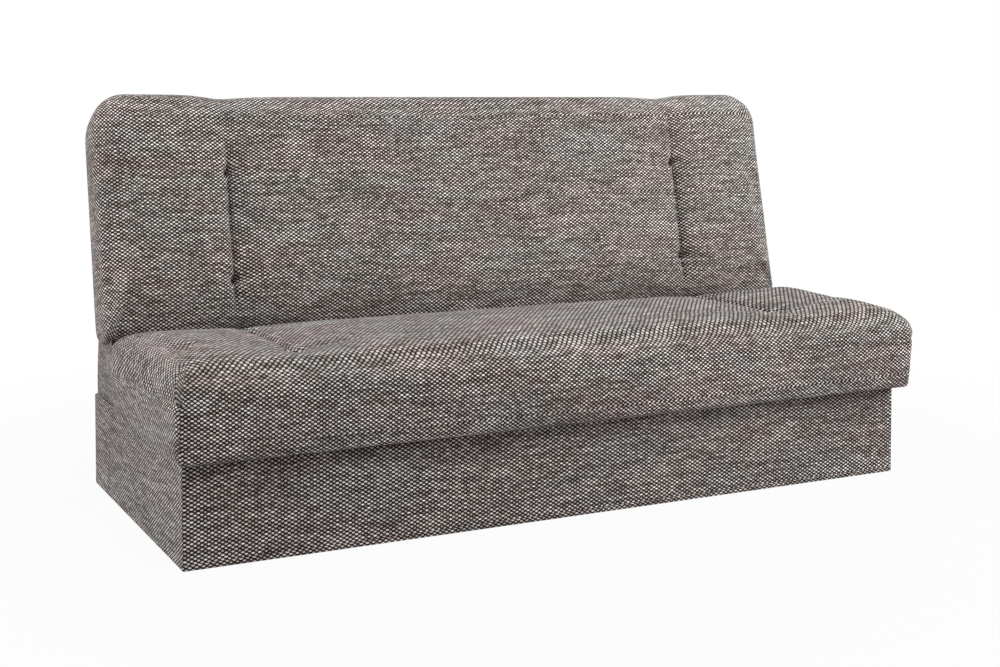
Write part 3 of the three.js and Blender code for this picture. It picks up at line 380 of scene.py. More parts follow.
def cushion_mesh(name, pad):
    """A cushion lying with its sitting face up. Rings of one rounded outline climb the sides, drawn in by
    draw (1 - t)2 at the share t of the height, and turn in over a quarter-round roll; the face inside them is
    a grid. Face and roll are crowned by 1 - v4. UVs are in metres: the face's panel unrolls over the rolls,
    so a ring point lies as far out as its arc length in the direction it faces, and where it is in the other.
    Under the seam the end panels keep x and the side panels y."""
    u = pad.stations(pad.half_x, (-pad.shape.channel_at, pad.shape.channel_at)) / pad.half_x
    v = pad.stations(pad.half_y, pad.spots) / pad.half_y
    nu, nv = len(u) - 1, len(v) - 1
    rim_i = np.concatenate([np.arange(nu), np.full(nv, nu), np.arange(nu, 0, -1), np.zeros(nv, int)])
    rim_j = np.concatenate([np.zeros(nu, int), np.arange(nv), np.full(nu, nv), np.arange(nv, 0, -1)])
    count = len(rim_i)
    ru, rv = u[rim_i], v[rim_j]
    seam_z = pad.seam_at(rv * pad.half_y)
    deep = pad.roll_deep(ru, rv)
    top_z = pad.thickness - deep
    low = max(2, int(round(float(seam_z.max()) / RING_HIGH)))
    high = max(1, int(round(float((top_z - seam_z).max()) / RING_HIGH)))
    levels = [seam_z * k / low for k in range(low + 1)]
    levels += [seam_z + (top_z - seam_z) * k / high for k in range(1, high + 1)]
    rings = [np.stack([*pad.plan(ru, rv, pad.draw * (1 - z / top_z) ** 2), z], 1) for z in levels]
    for k in range(1, ROLL_STEPS):
        turn = k / ROLL_STEPS * math.pi / 2
        rise = (deep + pad.shape.crown * (1 - rv**4)) * math.sin(turn)
        rings.append(np.stack([*pad.plan(ru, rv, 0, turn), top_z + rise], 1))
    sides = len(rings)
    gu, gv = np.meshgrid(u, v, indexing="ij")
    x, y = pad.plan(gu, gv, 0, math.pi / 2)
    top = np.stack([x, y, pad.thickness + pad.shape.crown * (1 - gv**4)], 2).reshape(-1, 3)
    lip = np.stack([*pad.plan(ru, rv, pad.draw + LIP_IN), 0 * ru], 1)
    under = np.stack([*pad.plan(gu, gv, pad.draw + UNDER_IN), 0 * gu], 2).reshape(-1, 3)
    points = np.concatenate([*rings, top, lip, under])

    top_base = sides * count
    grid = top_base + np.arange((nu + 1) * (nv + 1)).reshape(nu + 1, nv + 1)
    loop_at = [k * count + np.arange(count) for k in range(sides)] + [grid[rim_i, rim_j]]
    lip_at = top_base + grid.size + np.arange(count)
    floor_at = lip_at[-1] + 1 + np.arange(grid.size).reshape(grid.shape)
    nxt = np.roll(np.arange(count), -1)
    on_side = (rim_i == rim_i[nxt]) & ((rim_i == 0) | (rim_i == nu))
    quads, panel = [], []

    def add(faces, kind):
        """Keeps faces with their panel: 0 the face's, 1 an end's, 2 a side's."""
        quads.append(faces.reshape(-1, 4))
        panel.append(np.broadcast_to(kind, len(quads[-1])))

    for k in range(sides):
        a, b = loop_at[k], loop_at[k + 1]
        add(np.stack([a, a[nxt], b[nxt], b], 1), np.where(on_side, 2, 1) if k < low else 0)
    add(cells(grid, True), 0)
    for inner, outer in ((lip_at, loop_at[0]), (floor_at[rim_i, rim_j], lip_at)):
        add(np.stack([inner, inner[nxt], outer[nxt], outer], 1), 1)
    add(cells(floor_at), 1)
    quads, panel = np.concatenate(quads), np.concatenate(panel)

    chain = np.stack([*rings, top[grid[rim_i, rim_j] - top_base]])
    steps = np.linalg.norm(np.diff(chain, axis=0), axis=2)
    reach = np.concatenate([np.cumsum(steps[::-1], 0)[::-1], np.zeros((1, count))])
    facing = pad.facing(ru, rv)
    turned = facing**2
    inner = chain[-1][:, :2]
    face_uv, end_uv = np.zeros((len(points), 2)), points[:, :2].copy()
    for k in range(sides):
        at = chain[k][:, :2]
        face_uv[loop_at[k]] = at * (1 - turned) + (inner + np.sign(facing) * reach[k][:, None]) * turned
        end_uv[loop_at[k], 1] = inner[:, 1] + np.sign(rv) * reach[k]
    face_uv[grid.ravel()] = top[:, :2]
    face_uv[:, 1] = pad.row_at(face_uv[:, 1])
    end_uv[lip_at, 1] = inner[:, 1] + np.sign(rv) * (reach[0] + LIP_IN)
    side_uv = points[:, 1:]
    corners = quads.ravel()
    kind = np.repeat(panel, 4)[:, None]
    uv = np.where(kind == 2, side_uv[corners], np.where(kind == 1, end_uv[corners], face_uv[corners]))
    return mesh_from_faces(name, pad.pressed(points), quads, uv=uv)


def pad_out(piece, hold, cap, frames):
    """Cloth under pressure: hold (0 free, 1 fixed) keeps the sewn and stapled places, and no point ends
    further than its cap from where it began. The far part of a move is compressed by tanh, so the cap leaves
    no edge."""
    start = points_of(piece.data)
    group = piece.vertex_groups.new(name="hold")
    levels = np.round(hold, 2)
    for level in np.unique(levels):
        if level > 0:
            group.add(np.nonzero(levels == level)[0].tolist(), float(level), "REPLACE")
    cloth = piece.modifiers.new("padding", "CLOTH")
    s = cloth.settings
    s.quality, s.mass, s.air_damping = 6, 0.3, 2.0
    s.tension_stiffness = s.compression_stiffness = 22
    s.shear_stiffness, s.bending_stiffness = 8, 1.5
    s.use_pressure, s.uniform_pressure_force = True, 4.0
    s.vertex_group_mass = "hold"
    s.pin_stiffness = 2.0
    s.effector_weights.gravity = 0
    cloth.collision_settings.use_collision = False
    cloth.point_cache.frame_start, cloth.point_cache.frame_end = 1, frames
    for step in range(1, frames + 1):
        bpy.context.scene.frame_set(step)
    end = points_of(finished(piece))
    bpy.context.scene.frame_set(1)
    move = end - start
    far = np.linalg.norm(move, axis=1)
    limit = np.maximum(cap, 1e-6)
    move *= (limit * np.tanh(far / limit) / np.maximum(far, 1e-9))[:, None]
    set_points(piece.data, start + move)


def subdivided(piece):
    """A piece's mesh after one subdivision."""
    divide = piece.modifiers.new("finer", "SUBSURF")
    divide.levels = divide.render_levels = 1
    return finished(piece)


def box_points(low, high):
    """The eight corners of a box and its six outward faces."""
    grid = np.array([[x, y, z] for x in (0, 1) for y in (0, 1) for z in (0, 1)], float)
    points = np.asarray(low) + grid * (np.asarray(high) - np.asarray(low))
    faces = [[0, 1, 3, 2], [4, 6, 7, 5], [0, 4, 5, 1], [2, 3, 7, 6], [0, 2, 6, 4], [1, 5, 7, 3]]
    return points, np.array(faces)


def drum_points(x0, x1, radius, steps=40):
    """A drum along X about the origin: two rings of steps points and its end rings."""
    turn = np.linspace(0, 2 * math.pi, steps, endpoint=False)
    ring = np.stack([0 * turn, radius * np.cos(turn), radius * np.sin(turn)], 1)
    points = np.concatenate([ring + [x0, 0, 0], ring + [x1, 0, 0]])
    a = np.arange(steps)
    b = np.roll(a, -1)
    quads = np.stack([a, a + steps, b + steps, b], 1)
    return points, quads[:, ::-1], [a[::-1], a + steps]


def cut_rooms(piece, place, boxes, hub, materials):
    """Takes the frame's and the hinges' room out of a cushion, and leaves dark lining there. A hub's drum
    lies about the point hub in y and z, at each side."""
    tools = []
    for low, high in boxes:
        points, faces = box_points(low, high)
        tools.append(mesh_from_faces("room", points, faces, slots=np.ones(len(faces))))
    for s in SIDES:
        points, quads, caps = drum_points(*sorted((s * SLOT_IN, s * HUB_OUT)), HUB_RADIUS)
        tools.append(mesh_from_faces("room", points + [0, *hub], quads, caps, slots=np.ones(len(quads) + 2)))
    for mesh in tools:
        mesh.transform(place)
        tool = show("room", mesh, materials)
        cutter = piece.modifiers.new("room", "BOOLEAN")
        cutter.operation, cutter.solver, cutter.object = "DIFFERENCE", "MANIFOLD", tool
        finished(piece)
        bpy.data.objects.remove(tool)


def layered(name, outer, inner, flat, rim=0.0):
    """Two grids of points (m, n, 3) that face away from each other, joined along every free edge. flat is the
    cloth's own length and height at each point, and goes on by rim over the edge. Where it has a column more
    than the points, the sheet is closed and its last column is the first again."""
    m, n = outer.shape[:2]
    count = m * n
    grid = np.arange(count).reshape(m, n)[:, np.arange(flat.shape[1]) % n]
    faces, uv = [cells(grid), cells(grid + count, True)], [cells(flat), cells(flat, True)]
    ends = [] if flat.shape[1] > n else [np.s_[:, -1], np.s_[::-1, 0]]
    for line in (np.s_[0], np.s_[-1, ::-1], *ends):
        at, near = grid[line], flat[line]
        far = near + [0, rim]
        faces.append(np.stack([at[:-1], at[:-1] + count, at[1:] + count, at[1:]], 1))
        uv.append(np.stack([near[:-1], far[:-1], far[1:], near[1:]], 1))
    points = np.concatenate([outer.reshape(-1, 3), inner.reshape(-1, 3)])
    quads = np.concatenate([f.reshape(-1, 4) for f in faces])
    return mesh_from_faces(name, points, quads, uv=np.concatenate([pair.reshape(-1, 2) for pair in uv]))


def thick_sheet(name, outer, thickness, flat, rim=0.0):
    """A sheet whose inner layer is the outer one moved in along its own normal, which is the way along it
    crossed with the way up."""
    if flat.shape[1] > outer.shape[1]:
        along = np.roll(outer, -1, 1) - np.roll(outer, 1, 1)
    else:
        along = np.gradient(outer, axis=1)
    normal = np.cross(along, np.gradient(outer, axis=0))
    normal /= np.linalg.norm(normal, axis=2, keepdims=True)
    return layered(name, outer, outer - normal * thickness, flat, rim)


def rounded_path(stops, radius, spacing, closed):
    """A line through stops in plan, each inner corner an arc of radius in six equal steps, with normals to
    the right of travel. Straight parts are stepped at about spacing."""
    stops = np.asarray(stops, float)
    count = len(stops)
    parts = [] if closed else [stops[:1]]
    for i in range(count) if closed else range(1, count - 1):
        before, here, after = stops[i - 1], stops[i], stops[(i + 1) % count]
        d0, d1 = ((b - a) / np.linalg.norm(b - a) for a, b in ((before, here), (here, after)))
        turn = math.atan2(d0[0] * d1[1] - d0[1] * d1[0], d0 @ d1)
        reach = radius * abs(math.tan(turn / 2))
        side = np.array([-d0[1], d0[0]]) * np.sign(turn)
        centre = here - d0 * reach + side * radius
        angles = np.linspace(0, turn, 7)
        arm = -side * radius
        c, s = np.cos(angles), np.sin(angles)
        parts.append(centre + np.stack([arm[0] * c - arm[1] * s, arm[0] * s + arm[1] * c], 1))
    parts.append(parts[0] if closed else stops[-1:])
    chain = [parts[0]]
    for first, second in zip(parts, parts[1:]):
        a, b = first[-1], second[0]
        inside = np.linspace(0, 1, max(2, int(round(np.linalg.norm(b - a) / spacing)) + 1))[1:-1, None]
        chain += [a + (b - a) * inside, second]
    points = np.concatenate(chain[:-1] if closed else chain)
    tangent = np.roll(points, -1, 0) - np.roll(points, 1, 0) if closed else np.gradient(points, axis=0)
    tangent /= np.linalg.norm(tangent, axis=1, keepdims=True)
    return points, np.stack([tangent[:, 1], -tangent[:, 0]], 1)


# Materials


class Wiring:
    """Nodes of one tree, put in from left to right and wired as they are made."""

    def __init__(self, tree):
        self.tree = tree
        self.at = 0

    def add(self, kind, **values):
        """A new node, with its settings."""
        node = self.tree.nodes.new(kind)
        node.location = (self.at, -200 * (self.at // 180 % 5))
        self.at += 180
        for key, value in values.items():
            setattr(node, key, value)
        return node

    def feed(self, socket, value):
        """Links a socket to another, or sets it."""
        if isinstance(value, bpy.types.NodeSocket):
            self.tree.links.new(value, socket)
        else:
            socket.default_value = value

    def fed(self, kind, inputs, **values):
        """A new node with its inputs fed."""
        node = self.add(kind, **values)
        for label, value in inputs.items():
            self.feed(node.inputs[label], value)
        return node

    def math(self, operation, first, *others):
        """One operation on a number, or on it and each of the others in turn."""
        for other in others or (None,):
            inputs = {0: first} if other is None else {0: first, 1: other}
            first = self.fed("ShaderNodeMath", inputs, operation=operation).outputs[0]
        return first

    def plus(self, *values):
        """The sum of some numbers."""
        return self.math("ADD", *values)

    def minus(self, first, second):
        """The first number less the second."""
        return self.math("SUBTRACT", first, second)

    def times(self, *values):
        """The product of some numbers."""
        return self.math("MULTIPLY", *values)

    def spread(self, value, low, high, to_low=0.0, to_high=1.0, kind="SMOOTHSTEP"):
        """value from low..high to to_low..to_high, held at the ends."""
        inputs = {"Value": value, "From Min": low, "From Max": high, "To Min": to_low, "To Max": to_high}
        return self.fed("ShaderNodeMapRange", inputs, interpolation_type=kind, clamp=True).outputs["Result"]

    def ramp(self, share, low, high):
        """low to high in a straight line, as share goes from 0 to 1."""
        return self.spread(share, 0, 1, low, high, "LINEAR")

    def mix(self, share, first, second, blend="MIX"):
        """The first colour with a share of the second."""
        inputs = {0: share, 6: first, 7: second}
        return self.fed("ShaderNodeMix", inputs, data_type="RGBA", blend_type=blend).outputs[2]

    def join(self, x, y, z=0.0):
        """A vector from three numbers."""
        return self.fed("ShaderNodeCombineXYZ", {0: x, 1: y, 2: z}).outputs[0]

    def split(self, vector):
        """The three numbers of a vector."""
        return self.fed("ShaderNodeSeparateXYZ", {0: vector}).outputs

    def scaled(self, vector, *by):
        """A vector times by, axis by axis."""
        return self.fed("ShaderNodeVectorMath", {0: vector, 1: by}, operation="MULTIPLY").outputs[0]

    def noise(self, vector, scale, detail=2.0, rough=0.5, dimensions="3D"):
        """Cloudy noise from 0 to 1."""
        inputs = {"Vector": vector, "Scale": scale, "Detail": detail, "Roughness": rough}
        return self.fed("ShaderNodeTexNoise", inputs, noise_dimensions=dimensions).outputs[0]

    def speck(self, x, y):
        """A chance number from 0 to 1 for each pair of whole numbers."""
        inputs = {"Vector": self.join(x, y)}
        return self.fed("ShaderNodeTexWhiteNoise", inputs, noise_dimensions="2D").outputs[0]


NUMBER, COLOUR, VECTOR = "NodeSocketFloat", "NodeSocketColor", "NodeSocketVector"


def shader_group(name, inputs, outputs):
    """An empty shader group with its sockets, and the wiring to fill it."""
    tree = bpy.data.node_groups.new(name, "ShaderNodeTree")
    for label, kind, *value in inputs:
        socket = tree.interface.new_socket(label, in_out="INPUT", socket_type=kind)
        if value:
            socket.default_value = value[0]
    for label, kind in outputs:
        tree.interface.new_socket(label, in_out="OUTPUT", socket_type=kind)
    w = Wiring(tree)
    return tree, w, w.add("NodeGroupInput").outputs, w.add("NodeGroupOutput").inputs


def weave_group():
    """Basket weave. Stitches stand in rows, each row half a pitch on from the last; a stitch is an oval that
    is light in the middle and falls to the dark ground. Slubs run along the rows, every stitch differs a
    little, and the dye drifts slowly between warm and cool. Every Repeat the rows step a little less, which
    shows as a faint line. On the seat's top the stitches are wider, and painted shade darkens the yarn there."""
    tree, w, given, out = shader_group(
        "melange weave",
        [
            ("Cloth", VECTOR), ("Pitch", NUMBER, 0.01295), ("Row", NUMBER, 0.00446), ("Repeat", NUMBER, 0.22),
            ("Light", COLOUR), ("Middle", COLOUR), ("Dark", COLOUR), ("Slubs", NUMBER, 1.0),
            ("Sat", NUMBER, 0.0),
        ],
        [("Color", COLOUR), ("Height", NUMBER), ("Ground", NUMBER)],
    )
    u, v, _ = w.split(given["Cloth"])
    up = w.math("DIVIDE", v, given["Row"])
    row = w.math("FLOOR", up)
    repeat = w.math("FLOOR", w.math("DIVIDE", w.minus(v, 0.012), given["Repeat"]))
    half_pitch = w.times(w.math("FLOORED_MODULO", row, 2.0), 0.5)
    drift = w.times(repeat, w.plus(w.times(u, 0.12), 0.20))
    across = w.plus(w.math("DIVIDE", u, given["Pitch"]), w.plus(half_pitch, drift))
    stitch = w.math("FLOOR", across)
    chance = w.speck(stitch, row)
    other = w.speck(w.plus(stitch, 57.3), row)
    fu = w.math("DIVIDE", w.minus(w.minus(across, stitch), 0.5), w.ramp(chance, 0.21, 0.31))
    fv = w.math("DIVIDE", w.minus(w.minus(up, row), 0.5), w.ramp(other, 0.40, 0.52))
    distance = w.math("SQRT", w.plus(w.times(fu, fu), w.times(fv, fv)))
    oval = w.spread(w.times(distance, w.ramp(given["Sat"], 1.0, 0.87)), 1.05, 0.70)
    own = w.times(w.speck(row, 3.7), 300.0)
    slub = w.spread(w.noise(w.join(w.times(u, 9.0), own), 1.0, 1.0, 0.6, "2D"), 0.34, 0.68)
    patch = w.noise(w.join(w.times(u, 2.2), w.times(v, 6.0)), 1.0, 2.0, 0.5, "2D")
    share = w.plus(w.times(slub, 0.46), w.times(chance, 0.38), w.times(w.spread(patch, 0.3, 0.7), 0.16))
    share = w.plus(w.times(w.minus(share, 0.5), given["Slubs"]), 0.55)
    yarn = w.mix(w.ramp(share, 0.0, 1.0), given["Middle"], given["Light"])
    # Painted shade: on the seat's top the yarn is mixed towards the dark ground
    yarn = w.mix(w.times(given["Sat"], 0.32), yarn, given["Dark"])
    bath = w.noise(w.join(w.times(u, 4.0), w.times(v, 11.0), 7.0), 1.0, 1.0)
    cool = w.mix(1.0, yarn, (0.90, 1.0, 0.98, 1), "MULTIPLY")
    yarn = w.mix(w.spread(bath, 0.38, 0.62), yarn, cool)
    ground = w.mix(w.times(other, slub, 0.14), given["Dark"], given["Middle"])
    w.feed(out["Color"], w.mix(oval, ground, yarn))
    w.feed(out["Height"], w.times(w.math("SQRT", oval), w.ramp(chance, 0.8, 1.0)))
    w.feed(out["Ground"], w.minus(1.0, oval))
    return tree


def grain_group():
    """Timber: rings are bands of distance from a far heart line, bent by noise and drawn out along the board,
    with fine pores over them."""
    tree, w, given, out = shader_group(
        "sawn grain",
        [("Vector", VECTOR), ("Pale", COLOUR), ("Dark", COLOUR), ("Rings", NUMBER, 60.0)],
        [("Color", COLOUR), ("Height", NUMBER)],
    )
    _, y, z = w.split(given["Vector"])
    bend = w.noise(w.scaled(given["Vector"], 1.2, 6.0, 6.0), 1.0, 3.0)
    squares = [w.math("POWER", w.plus(place, heart), 2.0) for place, heart in ((y, 0.05), (z, 0.02))]
    far = w.plus(w.math("SQRT", w.plus(*squares)), w.times(bend, 0.06))
    late = w.math("POWER", w.math("FRACT", w.times(far, given["Rings"])), 3.0)
    pores = w.noise(w.scaled(given["Vector"], 18.0, 700.0, 700.0), 1.0, 2.0)
    share = w.plus(w.times(late, 0.55), w.times(pores, 0.35))
    w.feed(out["Color"], w.mix(share, given["Pale"], given["Dark"]))
    w.feed(out["Height"], w.plus(w.times(pores, 0.7), w.times(late, 0.3)))
    return tree


def flake_group():
    """Pressed board: cells of chips in several tones, with dust between them."""
    tree, w, given, out = shader_group(
        "pressed chips",
        [("Vector", VECTOR), ("Chips", COLOUR), ("Size", NUMBER, 0.006), ("Contrast", NUMBER, 0.5)],
        [("Color", COLOUR), ("Height", NUMBER)],
    )
    inputs = {"Vector": given["Vector"], "Scale": w.math("DIVIDE", 1.0, given["Size"])}
    tone = w.split(w.fed("ShaderNodeTexVoronoi", inputs).outputs["Color"])[0]
    dust = w.noise(given["Vector"], 900.0, 2.0)
    share = w.times(w.plus(w.times(tone, 0.8), w.times(dust, 0.4)), given["Contrast"])
    dark = w.mix(1.0, given["Chips"], (0.35, 0.32, 0.30, 1), "MULTIPLY")
    w.feed(out["Color"], w.mix(share, given["Chips"], dark))
    w.feed(out["Height"], w.plus(w.times(tone, 0.5), w.times(dust, 0.5)))
    return tree


def spangle_group():
    """Plated or moulded surfaces: slow cloudy patches and fine scratches or grain."""
    tree, w, given, out = shader_group(
        "fine surface",
        [
            ("Vector", VECTOR), ("Base", COLOUR), ("Cloud", NUMBER, 70.0), ("Fine", NUMBER, 1400.0),
            ("Depth", NUMBER, 0.25), ("Rough", NUMBER, 0.4),
        ],
        [("Color", COLOUR), ("Roughness", NUMBER), ("Height", NUMBER)],
    )
    cloud = w.noise(given["Vector"], given["Cloud"], 3.0)
    tint = w.mix(1.0, given["Base"], (0.62, 0.62, 0.64, 1), "MULTIPLY")
    w.feed(out["Color"], w.mix(w.times(cloud, given["Depth"]), given["Base"], tint))
    w.feed(out["Roughness"], w.plus(given["Rough"], w.times(w.minus(cloud, 0.5), given["Depth"])))
    w.feed(out["Height"], w.noise(given["Vector"], given["Fine"], 2.0))
    return tree


GROUPS = {}
FINISHES = {}


def rgba(colour, tone=1.0):
    """A colour with its alpha, darkened by tone."""
    return (*[c * tone for c in colour], 1.0)


def emptied(owner):
    """The wiring of a material's or a world's tree, with nothing in it."""
    owner.use_nodes = True
    owner.node_tree.nodes.clear()
    return Wiring(owner.node_tree)


def new_finish(name, group, values, bump, depth=0.0005, source="Object", turn=(0, 0, 0), **sockets):
    """A material: one of the groups feeds colour and bump of a Principled shader, whose plain numbers are its
    own. source is the coordinate that the group reads, turned by turn."""
    material = FINISHES[name] = bpy.data.materials.new(name)
    w = emptied(material)
    coordinate = w.add("ShaderNodeTexCoord").outputs[source]
    place = w.fed("ShaderNodeMapping", {"Vector": coordinate, "Rotation": turn})
    effect = w.fed("ShaderNodeGroup", {}, node_tree=GROUPS[group])
    w.feed(effect.inputs[0], place.outputs[0])
    for label, value in values.items():
        w.feed(effect.inputs[label], value)
    shader = w.fed("ShaderNodeBsdfPrincipled", {"Base Color": effect.outputs["Color"]})
    for label, value in sockets.items():
        w.feed(shader.inputs[label.replace("_", " ")], value)
    if "Roughness" in effect.outputs:
        w.feed(shader.inputs["Roughness"], effect.outputs["Roughness"])
    bumps = {"Strength": bump, "Distance": depth, "Height": effect.outputs["Height"]}
    w.feed(shader.inputs["Normal"], w.fed("ShaderNodeBump", bumps).outputs[0])
    w.fed("ShaderNodeOutputMaterial", {0: shader.outputs[0]})
    return material


def widen_and_shade_seat_top(material):
    """Tells the weave where the seat's top is, by the place in the piece's own axes. There its stitches widen
    and painted shade darkens the yarn.
    """
    w = Wiring(material.node_tree)
    effect = next(n for n in material.node_tree.nodes if n.type == "GROUP")
    _, y, z = w.split(w.add("ShaderNodeTexCoord").outputs["Object"])
    # The seat's top, where the stitches widen and painted shade darkens the yarn
    above = w.spread(z, SEAT_HIGH.z - 0.072, SEAT_HIGH.z - 0.030)
    before = w.spread(y, PIVOT.y - 0.045, PIVOT.y - 0.030, 1.0, 0.0)
    w.feed(effect.inputs["Sat"], w.times(above, before))


def make_finishes(finish):
    """Every material, from the groups that they share."""
    GROUPS.update(weave=weave_group(), grain=grain_group(), flakes=flake_group(), spangle=spangle_group())
    yarns = {"Light": finish.light_yarn, "Middle": finish.middle_yarn, "Dark": finish.dark_yarn}
    cloth = {"Pitch": finish.pitch, "Row": finish.row, **{label: rgba(yarn) for label, yarn in yarns.items()}}
    fabric = {"Roughness": 0.92, "Sheen_Weight": 0.05, "Sheen_Roughness": 0.5, "Specular_IOR_Level": 0.2}
    # The fabric's weave gets wider stitches and painted shade on the seat's top
    widen_and_shade_seat_top(new_finish("melange_fabric", "weave", cloth, 0.6, 0.0012, "UV", **fabric))
    grain = {"Pale": rgba(finish.timber), "Dark": rgba(finish.timber, 0.45)}
    quarter = math.pi / 2
    for name, turn in (("across", (0, 0, 0)), ("upright", (0, quarter, 0)), ("lengthways", (0, 0, quarter))):
        new_finish("pine_" + name, "grain", grain, 0.35, turn=turn, Roughness=0.7)
    for name, chips, size, contrast, bump, rough in (
        ("chipboard", finish.chipboard, 0.005, 0.75, 0.4, 0.85),
        ("hardboard", finish.hardboard, 0.0016, 0.55, 0.25, 0.55),
    ):
        values = {"Chips": rgba(chips), "Size": size, "Contrast": contrast}
        new_finish(name, "flakes", values, bump, Roughness=rough)
    lining = {"Base": rgba(finish.lining), "Rough": 0.9, "Depth": 0.2, "Cloud": 300.0, "Fine": 2200.0}
    new_finish("dark_lining", "spangle", lining, 0.3, 0.0003)
    zinc = {"Base": rgba(finish.zinc), "Rough": 0.36, "Depth": 0.3}
    new_finish("zinc_steel", "spangle", zinc, 0.08, 0.0002, Metallic=0.95)
    plastic = {"Base": rgba(finish.plastic), "Rough": 0.5, "Depth": 0.1, "Fine": 900.0}
    new_finish("black_plastic", "spangle", plastic, 0.15, 0.0002)


# Seat and back


def sewn(points, pad):
    """Pulls the sitting face in along the two channels and at the tufts. Down a channel the depth is a narrow
    fold on a wider one; at a tuft it is a cone, and the cloth round it is drawn towards the thread."""
    x, y, z = points.T
    share = smooth_step(z / pad.thickness, 0.45, 0.85)
    off = np.abs(x) - pad.shape.channel_at
    fold = pad.shape.crease * pad.fold(y) * (0.72 * np.exp(-np.abs(off) / 0.0045) + 0.28 * bell(off, 0.020))
    down = fold * share
    dx, dy = 0 * x, 0 * y
    for spot in pad.spots:
        away = np.hypot(off, y - spot)
        cone = pad.shape.tuft * (0.74 * np.exp(-away / 0.0068) + 0.26 * bell(away, 0.022))
        around = np.arctan2(y - spot, off)
        pucker = 0.0014 * np.cos(7 * around + 3 * spot) * bell(away - 0.022, 0.014)
        down = np.maximum(down, cone * share) + pucker * share
        pull = 0.30 * bell(away, 0.030) * share
        dx -= np.sign(x) * off * pull
        dy -= (y - spot) * pull
    dx -= np.sign(x) * off * 0.28 * bell(off, 0.020) * share * pad.fold(y)
    return np.stack([x + dx, y + dy, z - down], 1)


def side_seam(points, pad):
    """A groove along the side seam, and the two panels swelling a little beside it."""
    x, y, z = points.T
    on_side = smooth_step(np.abs(x), pad.half_x - 0.03, pad.half_x - 0.008) * (z > 0.004)
    from_seam = z - pad.seam_at(y)
    groove = pad.groove * (bell(from_seam, 0.0045) - 0.4 * bell(np.abs(from_seam) - 0.014, 0.008))
    return np.stack([x - np.sign(x) * groove * on_side, y, z], 1)


def hand_made(points, height, seed):
    """Slow unevenness of stuffed cloth: a few waves of different length and direction, each drawn from a
    seed."""
    draw = np.random.default_rng(seed)
    wave = np.zeros(len(points))
    for _ in range(9):
        direction = draw.normal(size=3)
        direction /= np.linalg.norm(direction)
        wavelength = draw.uniform(0.10, 0.34)
        wave += np.sin(points @ direction * 2 * math.pi / wavelength + draw.uniform(0, 6.28))
    return wave / 9 * height


def build_cushion(name, node, pad, place, turned, body, boxes, hub, seed):
    """One cushion, from its start shape through padding, subdivision, sewing and cutting to its place. The
    rooms are cut where turned puts them."""
    materials = [FINISHES["melange_fabric"], FINISHES["dark_lining"]]
    piece = show(name, cushion_mesh(name, pad), materials)
    points = points_of(piece.data)
    pad_out(piece, pad.hold(points), pad.cap(points), pad.shape.frames)
    mesh = subdivided(piece)
    points = side_seam(sewn(points_of(mesh), pad), pad)
    points[:, 2] += hand_made(points, 0.0022, seed) * smooth_step(points[:, 2] / pad.thickness, 0.6, 0.95)
    set_points(mesh, points)
    mesh.transform(place)
    cut_rooms(piece, turned, boxes, hub, materials)
    smooth(piece.data)
    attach(piece, body)
    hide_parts(node)


def slots(*spans):
    """Rooms of the hinge plates' width at each side, one for each pair of (y, z) corners."""
    wide = [sorted((s * SLOT_IN, s * SLOT_OUT)) for s in SIDES]
    return [((x0, *low), (x1, *high)) for x0, x1 in wide for low, high in spans]


def build_seat(shape):
    """The seat: a waterfall front, two channels that fade towards both ends, and outer blocks 9 mm higher."""
    low_y, high_y = SEAT_LOW.y, PIVOT.y - PIVOT_GAP
    mid = (high_y + low_y) / 2
    half_x, half_y = SEAT_HIGH.x, (high_y - low_y) / 2
    # The tufts are measured from the line where the back's face meets the seat
    crease_y = CHEST_HIGH.y - 0.291
    first, last = crease_y - 0.402 - mid, crease_y - 0.084 - mid

    def before_rear(y):
        """1 up to the rear tufts, and 0 from 65 mm behind them."""
        return 1 - smooth_step(y, last + 0.012, last + 0.065)

    def shift(x, y):
        """The outer blocks rise by a smooth step times 1 - v4."""
        outer = smooth_step(np.abs(x), shape.channel_at + 0.05, half_x - 0.05)
        return 0, 0.009 * outer * (1 - (y / half_y) ** 4)

    pad = Pad(
        shape=shape, half_x=half_x, half_y=half_y, thickness=0.189, corners=(shape.corner, shape.corner),
        draw=shape.seat_draw, spots=(first, last), seam=(0.126, 0.100), stretch=2.0, groove=0.0032,
        hinge=1, face_from=0.15, ease=(0.8, 0.005), dent=0.007, pinch=0.009, wide=0.032, shift=shift,
        line=lambda y: smooth_step(y, first - 0.11, first) * before_rear(y),
        thread=lambda y: 0.75 * smooth_step(y, first - 0.05, first) * before_rear(y),
        fold=lambda y: smooth_step(y, first - 0.085, first - 0.005) * (0.4 + 0.6 * before_rear(y)),
    )
    # The seat frame's room, the arms' slots behind it and the wider ones below the pivot line
    room = (-FRAME_HALF, -0.4008, SEAT_ROOM_LOW), (FRAME_HALF, PIVOT.y - 0.0297, SEAT_ROOM_HIGH)
    plates = slots(
        ((-0.1012, SEAT_ROOM_LOW), (0.22, SEAT_ROOM_HIGH)),
        ((0.0788, SEAT_ROOM_LOW), (0.22, PIVOT.z)),
    )
    place = Matrix.Translation((0, mid, SEAT_LOW.z))
    hub = (PIVOT.y, PIVOT.z)
    build_cushion(
        "seat_upholstery", "seat_cushion", pad, place, Matrix.Identity(4), "seat", [room, *plates], hub, 11
    )


